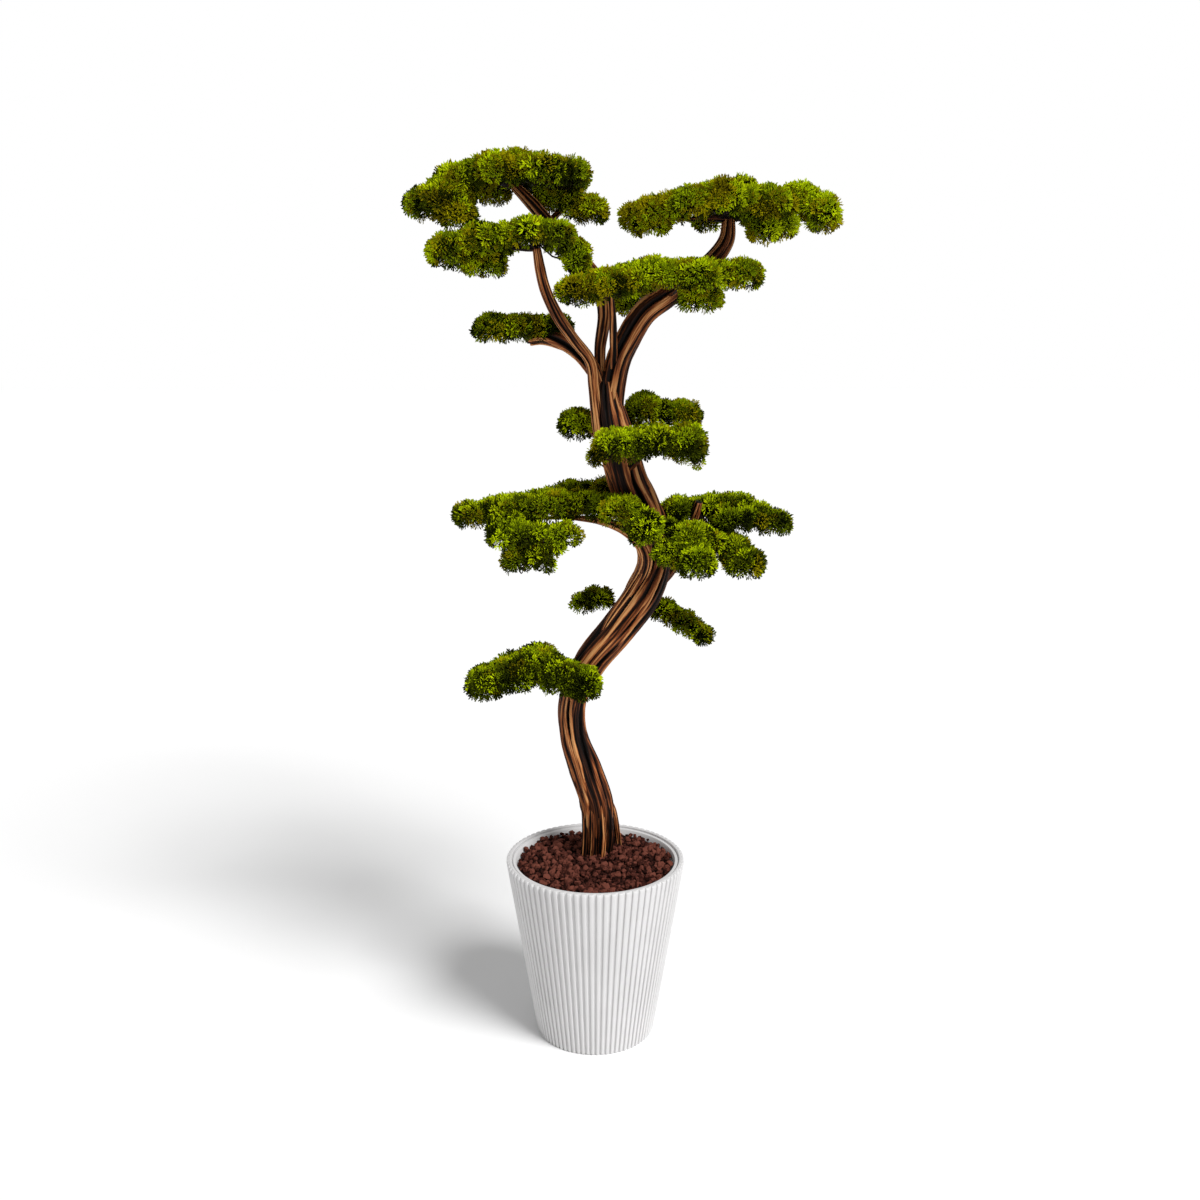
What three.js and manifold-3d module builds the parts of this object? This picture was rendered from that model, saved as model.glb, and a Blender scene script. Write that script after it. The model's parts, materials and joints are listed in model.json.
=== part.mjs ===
// A cloud-pruned myrtle bonsai, 1.70 m tall, in a fluted white planter topped with lava gravel.
// Millimetres, +Z up. The origin is the middle of the planter's flat underside, and -Y is the front.
import * as THREE from 'three';
import { mergeVertices } from 'three/addons/utils/BufferGeometryUtils.js';
import Module from 'manifold-3d';

const wasm = await Module();
wasm.setup();

// Gaps between neighbouring solids
const touchGap = 0.3;
const massGap = 1.2;

// Planter: a tapered pot with upright flutes and a stepped rim
const planter = {
  height: 365,
  rimRadius: 176,
  footRadius: 118,
  flutes: 78,
  fluteDepth: 3.4,
  ribShare: 0.6,
  edgeRound: 4,
  rimWidth: 10,
  lipWidth: 7,
  lipDrop: 3,
  grooveWidth: 2,
  grooveDrop: 6,
  wallAtRim: 23,
  wallAtFoot: 12,
  floor: 14,
  roundness: 32,
};

// Lava gravel: a mound that fills the planter, with stones standing out of it
const gravel = {
  dropAtWall: 15,
  riseAtTrunk: 8,
  moundRadius: 92,
  clearOfTrunk: 58,
  stones: 30,
  stoneSize: 12,
  seed: 11,
};

// The trunk leaves the gravel behind the middle of the planter
const ground = planter.height - gravel.dropAtWall + gravel.riseAtTrunk;

// Limbs are bundles of strands round a spine. A spine point is [x, y, z, radius].
// count strands turn by twist (radians) over the length, wander sideways and part by grooves.
const trunk = {
  name: 'trunk',
  strands: { count: 7, twist: 1.6, wander: 0.16, groove: 0.24 },
  rings: 34,
  spine: [
    [12, 40, 325, 43], [10, 41, 375, 38], [3, 41, 460, 34], [-19, 36, 535, 33], [-43, 29, 615, 27],
    [-43, 25, 685, 26.5], [-10, 20, 757, 32], [43, 19, 825, 34.5], [91, 28, 891, 36], [113, 38, 944, 31.5],
    [113, 41, 985, 33.5], [101, 42, 1024, 37], [83, 37, 1066, 38], [62, 32, 1110, 38], [50, 32, 1150, 37],
    [39, 33, 1186, 37], [27, 36, 1230, 33], [21, 38, 1272, 24], [20, 39, 1312, 8],
  ],
};

const branchStrands = { count: 4, twist: 1.1, wander: 0.2, groove: 0.2 };
const twigStrands = { count: 3, twist: 0.8, wander: 0.1, groove: 0.16 };
const boughs = [
  {
    name: 'leader_right',
    strands: { count: 5, twist: 0.9, wander: 0.2, groove: 0.24 },
    rings: 14,
    spine: [
      [31, 39, 1190, 14], [34, 40, 1235, 20], [35, 40, 1280, 23], [44, 38, 1332, 24], [57, 37, 1360, 23.5],
      [92, 36, 1417, 23], [128, 38, 1445, 23], [169, 40, 1474, 21], [213, 42, 1509, 17.5],
      [240, 42, 1547, 15], [243, 40, 1588, 12],
    ],
  },
  {
    name: 'leader_left',
    rings: 11,
    spine: [
      [9, 31, 1200, 9], [4, 29, 1240, 11], [-2, 26, 1285, 10.5], [-8, 18, 1330, 10.5], [-40, 1, 1373, 10.5],
      [-67, -14, 1412, 11], [-88, -30, 1457, 10.5], [-97, -38, 1495, 10], [-102, -45, 1527, 8],
    ],
  },
  {
    name: 'leader_middle',
    rings: 12,
    spine: [
      [18, 46, 1225, 9], [12, 52, 1290, 9.5], [9, 56, 1352, 10.5], [17, 60, 1420, 13], [5, 62, 1474, 15],
      [-58, 55, 1546, 14], [-112, 49, 1607, 12], [-145, 46, 1637, 9],
    ],
  },
  {
    name: 'bough_side',
    rings: 7,
    spine: [
      [12, 36, 1282, 10], [-4, 40, 1316, 14], [-32, 46, 1350, 17], [-66, 58, 1368, 16], [-96, 70, 1374, 14],
      [-122, 78, 1369, 11],
    ],
  },
  {
    name: 'bough_arch',
    rings: 9,
    spine: [
      [108, 22, 925, 12], [100, 0, 965, 14], [80, -9, 1004, 14], [49, -7, 1025, 10], [8, 8, 1037, 8],
      [-38, 22, 1040, 5],
    ],
  },
  {
    name: 'bough_right',
    strands: twigStrands,
    rings: 7,
    spine: [
      [98, 34, 890, 12], [138, 54, 928, 14], [171, 64, 978, 12], [189, 68, 1020, 10], [194, 68, 1046, 8],
    ],
  },
  {
    name: 'bough_low',
    strands: twigStrands,
    rings: 5,
    spine: [[-42, 16, 690, 11], [-56, -8, 712, 10], [-76, -24, 730, 8], [-104, -30, 740, 5.5]],
  },
  {
    name: 'bough_centre',
    strands: twigStrands,
    rings: 6,
    spine: [[36, 26, 1318, 8], [34, 14, 1375, 7.5], [32, -6, 1412, 7], [28, -32, 1446, 6]],
  },
  {
    name: 'bough_centre_right',
    strands: twigStrands,
    rings: 3,
    spine: [[130, 36, 1447, 8], [142, 6, 1457, 7], [150, -28, 1466, 5]],
  },
  {
    name: 'bough_centre_back',
    strands: twigStrands,
    rings: 3,
    spine: [[114, 44, 1440, 8], [115, 70, 1452, 7], [118, 92, 1462, 5]],
  },
  {
    name: 'bough_crown_back',
    strands: twigStrands,
    rings: 3,
    spine: [[-86, 52, 1576, 7], [-68, 72, 1596, 6], [-56, 88, 1612, 5]],
  },
  {
    name: 'bough_waist_front',
    strands: twigStrands,
    rings: 3,
    spine: [[56, 22, 1122, 9], [74, -12, 1150, 8], [92, -34, 1172, 5.5]],
  },
  {
    name: 'bough_waist_back',
    strands: twigStrands,
    rings: 3,
    spine: [[48, 44, 1145, 9], [64, 80, 1182, 8], [82, 100, 1210, 5.5]],
  },
  {
    name: 'bough_waist_left',
    strands: twigStrands,
    rings: 3,
    spine: [[34, 44, 1160, 8], [10, 76, 1184, 7], [-10, 96, 1198, 5]],
  },
  {
    name: 'bough_arch_back',
    strands: twigStrands,
    rings: 3,
    spine: [[86, 50, 1040, 9], [52, 78, 1062, 8], [8, 100, 1076, 5]],
  },
  {
    name: 'bough_knee',
    strands: twigStrands,
    rings: 3,
    spine: [[62, 30, 836, 9], [74, 70, 846, 8], [84, 100, 854, 5.5]],
  },
];

// Foliage masses. Each has one stem, from a limb's tip or from the trunk at the given height, and its lobes
// are [x, y, z, half width, half depth, half height]. A loose mass has a small core and open twigs.
const masses = [
  {
    name: 'crown_left_outer', limb: 'leader_middle',
    lobes: [[-240, 35, 1648, 54, 60, 35], [-277, 10, 1609, 65, 60, 34], [-243, -8, 1590, 42, 44, 29]],
  },
  {
    name: 'crown_left_top', limb: 'leader_middle',
    lobes: [[-178, 22, 1663, 54, 72, 34], [-138, 60, 1683, 35, 52, 27], [-184, 62, 1633, 44, 50, 22]],
  },
  {
    name: 'crown_left_inner', limb: 'leader_middle',
    lobes: [[-90, 0, 1663, 48, 60, 29], [-46, 12, 1658, 44, 55, 29], [-84, 62, 1642, 44, 40, 24]],
  },
  {
    name: 'crown_left_low', limb: 'bough_crown_back',
    lobes: [[-64, 100, 1624, 50, 50, 24], [-10, 74, 1605, 40, 46, 28]],
  },
  {
    name: 'leader_pad_outer', limb: 'leader_left',
    lobes: [[-190, -20, 1545, 56, 62, 28], [-254, -30, 1525, 48, 50, 37], [-200, 8, 1506, 48, 46, 25]],
  },
  {
    name: 'leader_pad_inner', limb: 'leader_left',
    lobes: [[-116, -50, 1554, 40, 50, 32], [-64, -42, 1548, 36, 46, 32], [-31, -32, 1514, 26, 36, 40]],
  },
  {
    name: 'side_pad_outer', limb: 'bough_side',
    lobes: [[-140, 74, 1393, 44, 44, 28], [-190, 70, 1393, 43, 46, 31]],
  },
  { name: 'side_pad_inner', limb: 'bough_side', lobes: [[-77, 94, 1393, 43, 46, 28]] },
  {
    name: 'crown_right_left', limb: 'leader_right',
    lobes: [[106, 2, 1592, 44, 55, 31], [70, 26, 1590, 30, 40, 25], [100, -6, 1574, 42, 36, 18]],
  },
  {
    name: 'crown_right_front', limb: 'leader_right',
    lobes: [
      [224, -16, 1613, 50, 64, 35], [167, -30, 1606, 46, 55, 30], [268, 62, 1636, 36, 46, 27],
      [204, 62, 1586, 31, 36, 20],
    ],
  },
  {
    name: 'crown_right_middle', limb: 'leader_right',
    lobes: [[306, 18, 1600, 57, 70, 42], [336, 0, 1572, 30, 38, 27], [302, -6, 1564, 38, 42, 23]],
  },
  {
    name: 'crown_right_tip', limb: 'leader_right',
    lobes: [[368, 54, 1622, 45, 50, 31], [410, 22, 1591, 33, 45, 42]],
  },
  {
    name: 'centre_pad_left', limb: 'bough_centre',
    lobes: [[28, -60, 1465, 54, 58, 32], [-30, -60, 1456, 44, 46, 30]],
  },
  { name: 'centre_pad_middle', limb: 'bough_centre', lobes: [[102, -52, 1484, 52, 58, 30]] },
  {
    name: 'centre_pad_right', limb: 'bough_centre_right',
    lobes: [[180, -58, 1480, 51, 58, 32], [260, -30, 1485, 46, 50, 29], [190, -12, 1445, 46, 42, 27]],
  },
  {
    name: 'centre_pad_back', limb: 'bough_centre_back',
    lobes: [[160, 112, 1476, 50, 46, 25], [100, 110, 1472, 44, 42, 23]],
  },
  { name: 'centre_tuft', limb: 'bough_centre_back', lobes: [[60, 92, 1438, 32, 32, 24]] },
  { name: 'waist_pad_left', limb: 'bough_waist_left', lobes: [[-33, 110, 1212, 42, 50, 34]] },
  {
    name: 'waist_pad_back', limb: 'bough_waist_back',
    lobes: [[94, 116, 1238, 42, 46, 38], [166, 110, 1231, 48, 46, 29]],
  },
  {
    name: 'waist_pad_front', limb: 'bough_waist_front',
    lobes: [
      [109, -54, 1192, 44, 50, 33], [47, -56, 1185, 58, 48, 35], [167, -34, 1185, 40, 50, 46],
      [4, -46, 1168, 16, 24, 20],
    ],
  },
  {
    name: 'arch_pad_back', limb: 'bough_arch_back',
    lobes: [[13, 112, 1086, 28, 38, 24], [-40, 118, 1078, 48, 48, 22]],
  },
  {
    name: 'arch_pad_outer', limb: 'bough_arch', via: [[-110, 34, 1040]],
    lobes: [[-168, 30, 1056, 54, 58, 29], [-232, 20, 1049, 42, 46, 26]],
  },
  {
    name: 'arch_pad_top', limb: 'bough_arch',
    lobes: [[-90, 30, 1064, 54, 60, 33], [-18, 42, 1063, 54, 50, 28]],
  },
  {
    name: 'arch_pad_hanging', limb: 'bough_arch', loose: true,
    lobes: [
      [-152, -34, 1022, 60, 50, 35], [-62, -34, 1016, 46, 44, 29], [-105, -40, 983, 44, 38, 36],
      [-142, -42, 976, 42, 40, 37],
    ],
  },
  {
    name: 'arch_pad_trunk', limb: 'trunk', height: 1050,
    lobes: [[48, -28, 1063, 48, 44, 32], [92, -50, 1033, 38, 32, 42]],
  },
  {
    name: 'right_pad_upper', limb: 'bough_right',
    lobes: [[226, 98, 1050, 42, 52, 28], [162, 86, 1045, 40, 46, 34], [270, 94, 1055, 50, 48, 24]],
  },
  {
    name: 'right_pad_tip', limb: 'bough_right',
    lobes: [[266, 30, 1038, 50, 44, 21], [344, 50, 1030, 40, 40, 23], [310, 58, 1046, 34, 40, 21]],
  },
  {
    name: 'right_pad_lower', limb: 'trunk', height: 985,
    lobes: [[178, -22, 1012, 52, 50, 30], [138, -40, 986, 35, 34, 31], [186, -62, 973, 42, 44, 36]],
  },
  {
    name: 'right_pad_lower_tip', limb: 'bough_right',
    lobes: [[252, -4, 992, 46, 44, 24], [278, -34, 967, 44, 44, 33]],
  },
  { name: 'knee_pad_left', limb: 'bough_knee', lobes: [[4, 120, 862, 47, 44, 23]] },
  {
    name: 'knee_pad_right', limb: 'bough_knee',
    lobes: [[136, 112, 845, 33, 40, 22], [176, 102, 823, 31, 38, 21], [212, 92, 799, 25, 35, 24]],
  },
  {
    name: 'low_pad_outer', limb: 'bough_low',
    lobes: [[-152, -30, 754, 48, 62, 38], [-207, -30, 734, 41, 50, 37]],
  },
  {
    name: 'low_pad_inner', limb: 'bough_low',
    lobes: [[-110, -14, 766, 50, 58, 39], [-62, -52, 752, 48, 48, 38], [-20, -58, 739, 35, 38, 41]],
  },
];

// How every mass grows inside its lobes: its sprays stand out of the core and reach the lobe's edge.
// fullness widens the lobes along X, Y and Z. A spray is dealt to each sprayArea of a lobe.
const growth = {
  fullness: [1.1, 1.3, 1.1],
  coreShare: 0.93,
  looseCoreShare: 0.8,
  coreFlatness: 0.9,
  lump: 0.12,
  stemRadius: 3,
  branchRadius: 2.2,
  twigRadius: 1.4,
  twigStart: 0.6,
  sprayArea: 2900,
  looseSprayArea: 2600,
  lowestSpray: -0.6,
  sprayLength: 34,
  sprayWidth: 36,
  sprayThickness: 16,
  sprayShoulder: 0.6,
  spraySink: 6,
  limbMargin: 4,
  seed: 5,
};

// Sizes shared by the shaping steps
const tipSpread = 0.08;
const cuttingBlock = 500;
const pathSteps = 32;
const stemStep = -2;
const goldenAngle = Math.PI * (3 - Math.sqrt(5));
const fullTurn = Math.PI * 2;
const up = new THREE.Vector3(0, 0, 1);

// A repeatable stream of random numbers from 0 to 1
function randomFrom(seed) {
  let state = seed * 2654435761;
  return () => {
    state = (state + 0x6d2b79f5) | 0;
    let mixed = Math.imul(state ^ (state >>> 15), 1 | state);
    mixed = (mixed + Math.imul(mixed ^ (mixed >>> 7), 61 | mixed)) ^ mixed;
    return ((mixed ^ (mixed >>> 14)) >>> 0) / 4294967296;
  };
}

function toPoint([x, y, z]) {
  return new THREE.Vector3(x, y, z);
}

// Solids and geometries
function toSolid(geometry) {
  const bare = geometry.clone();
  bare.deleteAttribute('normal');
  bare.deleteAttribute('uv');
  const merged = mergeVertices(bare, 1e-4);
  return new wasm.Manifold(new wasm.Mesh({
    numProp: 3,
    vertProperties: new Float32Array(merged.attributes.position.array),
    triVerts: new Uint32Array(merged.index.array),
  }));
}

function toGeometry(solid) {
  const mesh = solid.getMesh();
  const geometry = new THREE.BufferGeometry();
  geometry.setAttribute('position', new THREE.BufferAttribute(mesh.vertProperties, mesh.numProp));
  geometry.setIndex(new THREE.BufferAttribute(mesh.triVerts, 1));
  return geometry;
}

function union(solids) {
  let pool = [...solids];
  while (pool.length > 1) {
    const next = [];
    for (let i = 0; i < pool.length; i += 2) {
      next.push(i + 1 < pool.length ? pool[i].add(pool[i + 1]) : pool[i]);
    }
    pool = next;
  }
  return pool[0];
}

function largestPiece(solid) {
  return solid.decompose().reduce((best, piece) => (piece.volume() > best.volume() ? piece : best));
}

// Skins rings of equally many points, with a fan over each end
function loft(rings) {
  const sides = rings[0].length;
  const positions = rings.flat().flatMap((p) => [p.x, p.y, p.z]);
  const index = [];
  for (let i = 0; i + 1 < rings.length; i++) {
    for (let j = 0; j < sides; j++) {
      const a = i * sides + j;
      const b = i * sides + ((j + 1) % sides);
      index.push(a, b, b + sides, a, b + sides, a + sides);
    }
  }
  for (const [start, flip] of [[0, true], [(rings.length - 1) * sides, false]]) {
    const ring = rings[start / sides];
    const middle = ring.reduce((sum, p) => sum.add(p), new THREE.Vector3()).divideScalar(sides);
    const hub = positions.length / 3;
    positions.push(middle.x, middle.y, middle.z);
    for (let j = 0; j < sides; j++) {
      const a = start + j;
      const b = start + ((j + 1) % sides);
      index.push(...(flip ? [hub, b, a] : [hub, a, b]));
    }
  }
  const geometry = new THREE.BufferGeometry();
  geometry.setAttribute('position', new THREE.Float32BufferAttribute(positions, 3));
  geometry.setIndex(index);
  return geometry;
}

// Planter
function flutedRing(radius, z, depth) {
  const { flutes, ribShare } = planter;
  const points = [];
  for (let i = 0; i < flutes; i++) {
    for (const [share, r] of [[-ribShare / 2, radius], [ribShare / 2, radius], [0.5, radius - depth]]) {
      const angle = ((i + share) / flutes) * fullTurn;
      points.push(new THREE.Vector3(Math.cos(angle) * r, Math.sin(angle) * r, z));
    }
  }
  return points;
}

function innerRadiusAt(z) {
  const { height, rimRadius, footRadius, wallAtRim, wallAtFoot, floor } = planter;
  const share = (z - floor) / (height - floor);
  return THREE.MathUtils.lerp(footRadius - wallAtFoot, rimRadius - wallAtRim, share);
}

function turned(profile) {
  const points = profile.map(([r, z]) => new THREE.Vector2(r, z));
  const geometry = new THREE.LatheGeometry(points, planter.roundness);
  geometry.rotateX(Math.PI / 2);
  return geometry;
}

function planterSolid() {
  const { height, rimRadius, footRadius, fluteDepth, edgeRound, rimWidth, lipWidth, lipDrop } = planter;
  const { grooveWidth, grooveDrop, floor } = planter;
  const outside = toSolid(loft([
    flutedRing(footRadius, 0, fluteDepth),
    flutedRing(rimRadius, height - edgeRound, fluteDepth),
    flutedRing(rimRadius - fluteDepth, height, 0.2),
  ]));
  const rimInside = rimRadius - rimWidth;
  const lipOutside = rimInside - grooveWidth;
  const lipInside = lipOutside - lipWidth;
  const hollow = toSolid(turned([
    [0, floor], [innerRadiusAt(floor), floor], [innerRadiusAt(height - lipDrop - 8), height - lipDrop - 8],
    [lipInside, height - lipDrop], [lipOutside, height - lipDrop + 0.6],
    [lipOutside + 0.4, height - grooveDrop], [rimInside - 0.6, height - grooveDrop],
    [rimInside, height + 1], [0, height + 1],
  ]));
  return outside.subtract(hollow);
}

// Gravel
function gravelHeightAt(radius) {
  const edge = planter.height - gravel.dropAtWall;
  const share = (radius - gravel.moundRadius) / (innerRadiusAt(edge) - gravel.moundRadius);
  return THREE.MathUtils.lerp(ground, edge, THREE.MathUtils.clamp(share, 0, 1));
}

function stoneAt(x, y, z, size, turn) {
  const stone = new THREE.OctahedronGeometry(size, 0);
  stone.rotateX(0.5);
  stone.scale(1.25, 0.95, 0.7);
  stone.rotateZ(turn);
  stone.translate(x, y, z);
  return toSolid(stone);
}

function gravelSolid() {
  const bottom = planter.floor + touchGap;
  const edge = planter.height - gravel.dropAtWall;
  const random = randomFrom(gravel.seed);
  const bed = toSolid(turned([
    [0, bottom], [innerRadiusAt(bottom) - touchGap * 2, bottom], [innerRadiusAt(edge) - touchGap * 2, edge],
    [gravel.moundRadius, ground], [0, ground],
  ]));
  const [footX, footY] = trunk.spine[1];
  const reach = innerRadiusAt(edge) - gravel.stoneSize * 1.9;
  const stones = [];
  for (let i = 0; i < gravel.stones; i++) {
    const radius = Math.sqrt((i + 0.5) / gravel.stones) * reach;
    const x = Math.cos(i * goldenAngle) * radius;
    const y = Math.sin(i * goldenAngle) * radius;
    const size = gravel.stoneSize * (0.8 + 0.5 * random());
    const turn = random() * fullTurn;
    if (Math.hypot(x - footX, y - footY) < gravel.clearOfTrunk) continue;
    stones.push(stoneAt(x, y, gravelHeightAt(radius), size, turn));
  }
  return union([bed, ...stones]);
}

// Limbs
function curveOf(limb) {
  return new THREE.CatmullRomCurve3(limb.spine.map(toPoint), false, 'centripetal');
}

function radiusAt(limb, curve, share) {
  const place = curve.getUtoTmapping(share) * (limb.spine.length - 1);
  const i = Math.min(Math.floor(place), limb.spine.length - 2);
  return THREE.MathUtils.lerp(limb.spine[i][3], limb.spine[i + 1][3], place - i);
}

// Angle and reach round a limb: two shoulders for each strand and the groove after it
function strandSection({ count, twist, wander, groove }, share) {
  const pitch = fullTurn / count;
  const middleOf = (k) => {
    const sway = Math.sin(fullTurn * (1.7 * share + 0.37 * (k % count)));
    return k * pitch + twist * share + wander * pitch * sway;
  };
  const points = [];
  for (let k = 0; k < count; k++) {
    const middle = middleOf(k);
    const halfWidth = pitch * (0.24 + 0.05 * Math.sin(fullTurn * (1.3 * share + 0.29 * k)));
    const height = 0.96 + 0.06 * Math.sin(fullTurn * (1.1 * share + 0.61 * k));
    const valley = (middle + middleOf(k + 1)) / 2;
    points.push([middle - halfWidth, height], [middle + halfWidth, height], [valley, 1 - groove]);
  }
  return points;
}

function limbSolid(limb, grow) {
  const curve = curveOf(limb);
  const frames = curve.computeFrenetFrames(limb.rings);
  const rings = [];
  for (let i = 0; i <= limb.rings; i++) {
    const share = i / limb.rings;
    const centre = curve.getPointAt(share);
    const radius = radiusAt(limb, curve, share);
    rings.push(strandSection(limb.strands ?? branchStrands, share).map(([angle, reach]) => centre.clone()
      .addScaledVector(frames.normals[i], Math.cos(angle) * (radius * reach + grow))
      .addScaledVector(frames.binormals[i], Math.sin(angle) * (radius * reach + grow))));
  }
  return toSolid(loft(rings));
}

// Each limb is cut clear of those it grows from, which come first
function buildLimbs() {
  const limbs = [];
  for (const limb of [trunk, ...boughs]) {
    let solid = limbs.reduce((rest, { grown }) => rest.subtract(grown), limbSolid(limb, 0));
    if (limb === trunk) {
      solid = cutBeyond(solid, { normal: up.clone().negate(), point: toPoint([0, 0, ground + touchGap]) });
    }
    const curve = curveOf(limb);
    const path = Array.from({ length: pathSteps + 1 }, (_, i) => {
      const share = i / pathSteps;
      return { at: curve.getPointAt(share), radius: radiusAt(limb, curve, share) };
    });
    limbs.push({ ...limb, curve, path, solid: largestPiece(solid), grown: limbSolid(limb, touchGap) });
  }
  return limbs;
}

// A slim tube through points
function tube(points, radius, sides) {
  const rings = points.map((point, i) => {
    const next = points[Math.min(i + 1, points.length - 1)];
    const along = next.clone().sub(points[Math.max(i - 1, 0)]).normalize();
    const { side, over } = acrossOf(along, 0);
    return Array.from({ length: sides }, (_, j) => point.clone()
      .addScaledVector(side, Math.cos((j / sides) * fullTurn) * radius)
      .addScaledVector(over, Math.sin((j / sides) * fullTurn) * radius));
  });
  return toSolid(loft(rings));
}

// Two directions square to a line, the first level before it is turned round the line
function acrossOf(along, turn) {
  const side = up.clone().cross(along);
  if (side.length() < 0.1) side.set(1, 0, 0);
  side.normalize().applyAxisAngle(along, turn);
  return { side, over: along.clone().cross(side) };
}

// Lobes
function lobesOf(mass) {
  return mass.lobes.map(([x, y, z, width, depth, height]) => {
    const reach = toPoint([width, depth, height]).multiply(toPoint(growth.fullness));
    const centre = toPoint([x, y, z]);
    return { mass, centre, reach, heart: centre.clone().addScaledVector(up, -0.3 * reach.z) };
  });
}

// The plane that parts two lobes, or null where they stay clear of each other
function partingPlane(lobe, other) {
  const between = other.centre.clone().sub(lobe.centre);
  const mean = lobe.reach.clone().add(other.reach).multiplyScalar(0.5);
  const normal = between.clone().divide(mean).divide(mean).normalize();
  const ownReach = normal.clone().multiply(lobe.reach).length();
  const otherReach = normal.clone().multiply(other.reach).length();
  const distance = between.dot(normal);
  if (ownReach + otherReach + massGap < distance) return null;
  const offset = (distance * ownReach) / (ownReach + otherReach) - massGap / 2;
  return { normal, point: lobe.centre.clone().addScaledVector(normal, offset) };
}

function cutBeyond(solid, { normal, point }) {
  const block = new THREE.BoxGeometry(cuttingBlock, cuttingBlock, cuttingBlock);
  block.translate(0, 0, cuttingBlock / 2);
  block.applyQuaternion(new THREE.Quaternion().setFromUnitVectors(up, normal));
  block.translate(point.x, point.y, point.z);
  return solid.subtract(toSolid(block));
}

// A lumpy ball that fills the middle of a lobe
function coreOf({ centre, reach }, share, random) {
  const shape = new THREE.IcosahedronGeometry(1, 0);
  shape.rotateZ(random() * fullTurn);
  const lumps = new Map();
  const position = shape.attributes.position;
  for (let i = 0; i < position.count; i++) {
    const p = new THREE.Vector3().fromBufferAttribute(position, i);
    const key = p.toArray().map((v) => v.toFixed(3)).join();
    if (!lumps.has(key)) lumps.set(key, 1 - growth.lump * random());
    p.multiplyScalar(lumps.get(key) * share);
    p.z *= growth.coreFlatness;
    p.multiply(reach).add(centre);
    position.setXYZ(i, p.x, p.y, p.z);
  }
  return toSolid(shape);
}

// A leaf spray's corners: its root, the three round its shoulder, and its tip
function sprayCorners(root, tip, turn) {
  const { sprayWidth, sprayThickness, sprayShoulder } = growth;
  const { side, over } = acrossOf(tip.clone().sub(root).normalize(), turn);
  const shoulder = root.clone().lerp(tip, sprayShoulder);
  const rim = [[-sprayWidth / 2, 0], [sprayWidth / 2, 0], [0, sprayThickness]].map(([across, lift]) => (
    shoulder.clone().addScaledVector(side, across).addScaledVector(over, lift)
  ));
  return [root, ...rim, tip];
}

function spraySolid(corners) {
  const geometry = new THREE.BufferGeometry().setFromPoints(corners);
  geometry.setIndex([1, 2, 4, 2, 3, 4, 3, 1, 4, 2, 1, 0, 3, 2, 0, 1, 3, 0]);
  return toSolid(geometry);
}

// Directions spread evenly over a lobe, from its top to a little below its middle
function sprayDirections(count, random) {
  return Array.from({ length: count }, (_, i) => {
    const z = THREE.MathUtils.lerp(1, growth.lowestSpray, (i + 0.5) / count);
    const angle = i * goldenAngle + random();
    const flat = Math.sqrt(1 - z * z);
    return toPoint([Math.cos(angle) * flat, Math.sin(angle) * flat, z]);
  });
}

function isClear(point, planes, limbs) {
  const inSpace = planes.every((plane) => point.clone().sub(plane.point).dot(plane.normal) < 0);
  const offLimb = ({ at, radius }) => at.distanceTo(point) > radius + growth.limbMargin;
  return inSpace && limbs.every(({ path }) => path.every(offLimb));
}

// The stem leaves its limb's tip, or the trunk at a height, and branches to the heart of each lobe
function stemSolid(mass, limbs, grow) {
  const limb = limbs.find(({ name }) => name === mass.limb);
  const hearts = lobesOf(mass).map(({ heart }) => heart);
  const offBy = ({ at }) => Math.abs(at.z - mass.height);
  const level = (best, step) => (offBy(step) < offBy(best) ? step : best);
  const start = (mass.height ? limb.path.reduce(level) : limb.path.at(stemStep)).at;
  const trail = [start, ...(mass.via ?? []).map(toPoint), hearts[0]];
  const branches = hearts.slice(1).map((heart) => tube([hearts[0], heart], growth.branchRadius + grow, 5));
  return union([tube(trail, growth.stemRadius + grow, 5), ...branches]);
}

function lobeSolids(lobe, planes, limbs, random) {
  const { mass, centre, reach, heart } = lobe;
  const coreShare = mass.loose ? growth.looseCoreShare : growth.coreShare;
  const sprayArea = mass.loose ? growth.looseSprayArea : growth.sprayArea;
  const parts = [planes.reduce(cutBeyond, coreOf(lobe, coreShare, random))];
  const area = reach.x * reach.y + reach.y * reach.z + reach.z * reach.x;
  const count = Math.round(area / sprayArea);
  for (const direction of sprayDirections(count, random)) {
    const tip = direction.clone().multiply(reach).multiplyScalar(1 + tipSpread * random()).add(centre);
    const length = growth.sprayLength + growth.spraySink * random();
    const root = tip.clone().addScaledVector(tip.clone().sub(heart).normalize(), -length);
    const corners = sprayCorners(root, tip, random() * Math.PI);
    if (!corners.every((corner) => isClear(corner, planes, limbs))) continue;
    parts.push(spraySolid(corners));
    if (!mass.loose) continue;
    const twig = [heart.clone().lerp(root, growth.twigStart), root.clone().lerp(tip, 0.4)];
    parts.push(tube(twig, growth.twigRadius, 3));
  }
  return parts.filter((part) => !part.isEmpty());
}

// A mass is its stem, cores, twigs and sprays in one piece, clear of the limbs and the other stems
function massSolid(mass, number, limbs, stems) {
  const random = randomFrom(growth.seed + number * 17);
  const parts = lobesOf(mass).flatMap((lobe) => {
    const others = masses.filter((other) => other !== mass).flatMap(lobesOf);
    const planes = others.map((other) => partingPlane(lobe, other)).filter(Boolean);
    return lobeSolids(lobe, planes, limbs, random);
  });
  const cut = (rest, grown) => rest.subtract(grown);
  const foliage = stems.filter((_, i) => i !== number).reduce(cut, union(parts));
  const ownStem = stems.slice(0, number).reduce(cut, stemSolid(mass, limbs, 0));
  const solid = limbs.map(({ grown }) => grown).reduce(cut, foliage.add(ownStem));
  return largestPiece(solid);
}

// Materials
function matte(color, roughness) {
  return new THREE.MeshStandardMaterial({ color, roughness, metalness: 0 });
}

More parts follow.
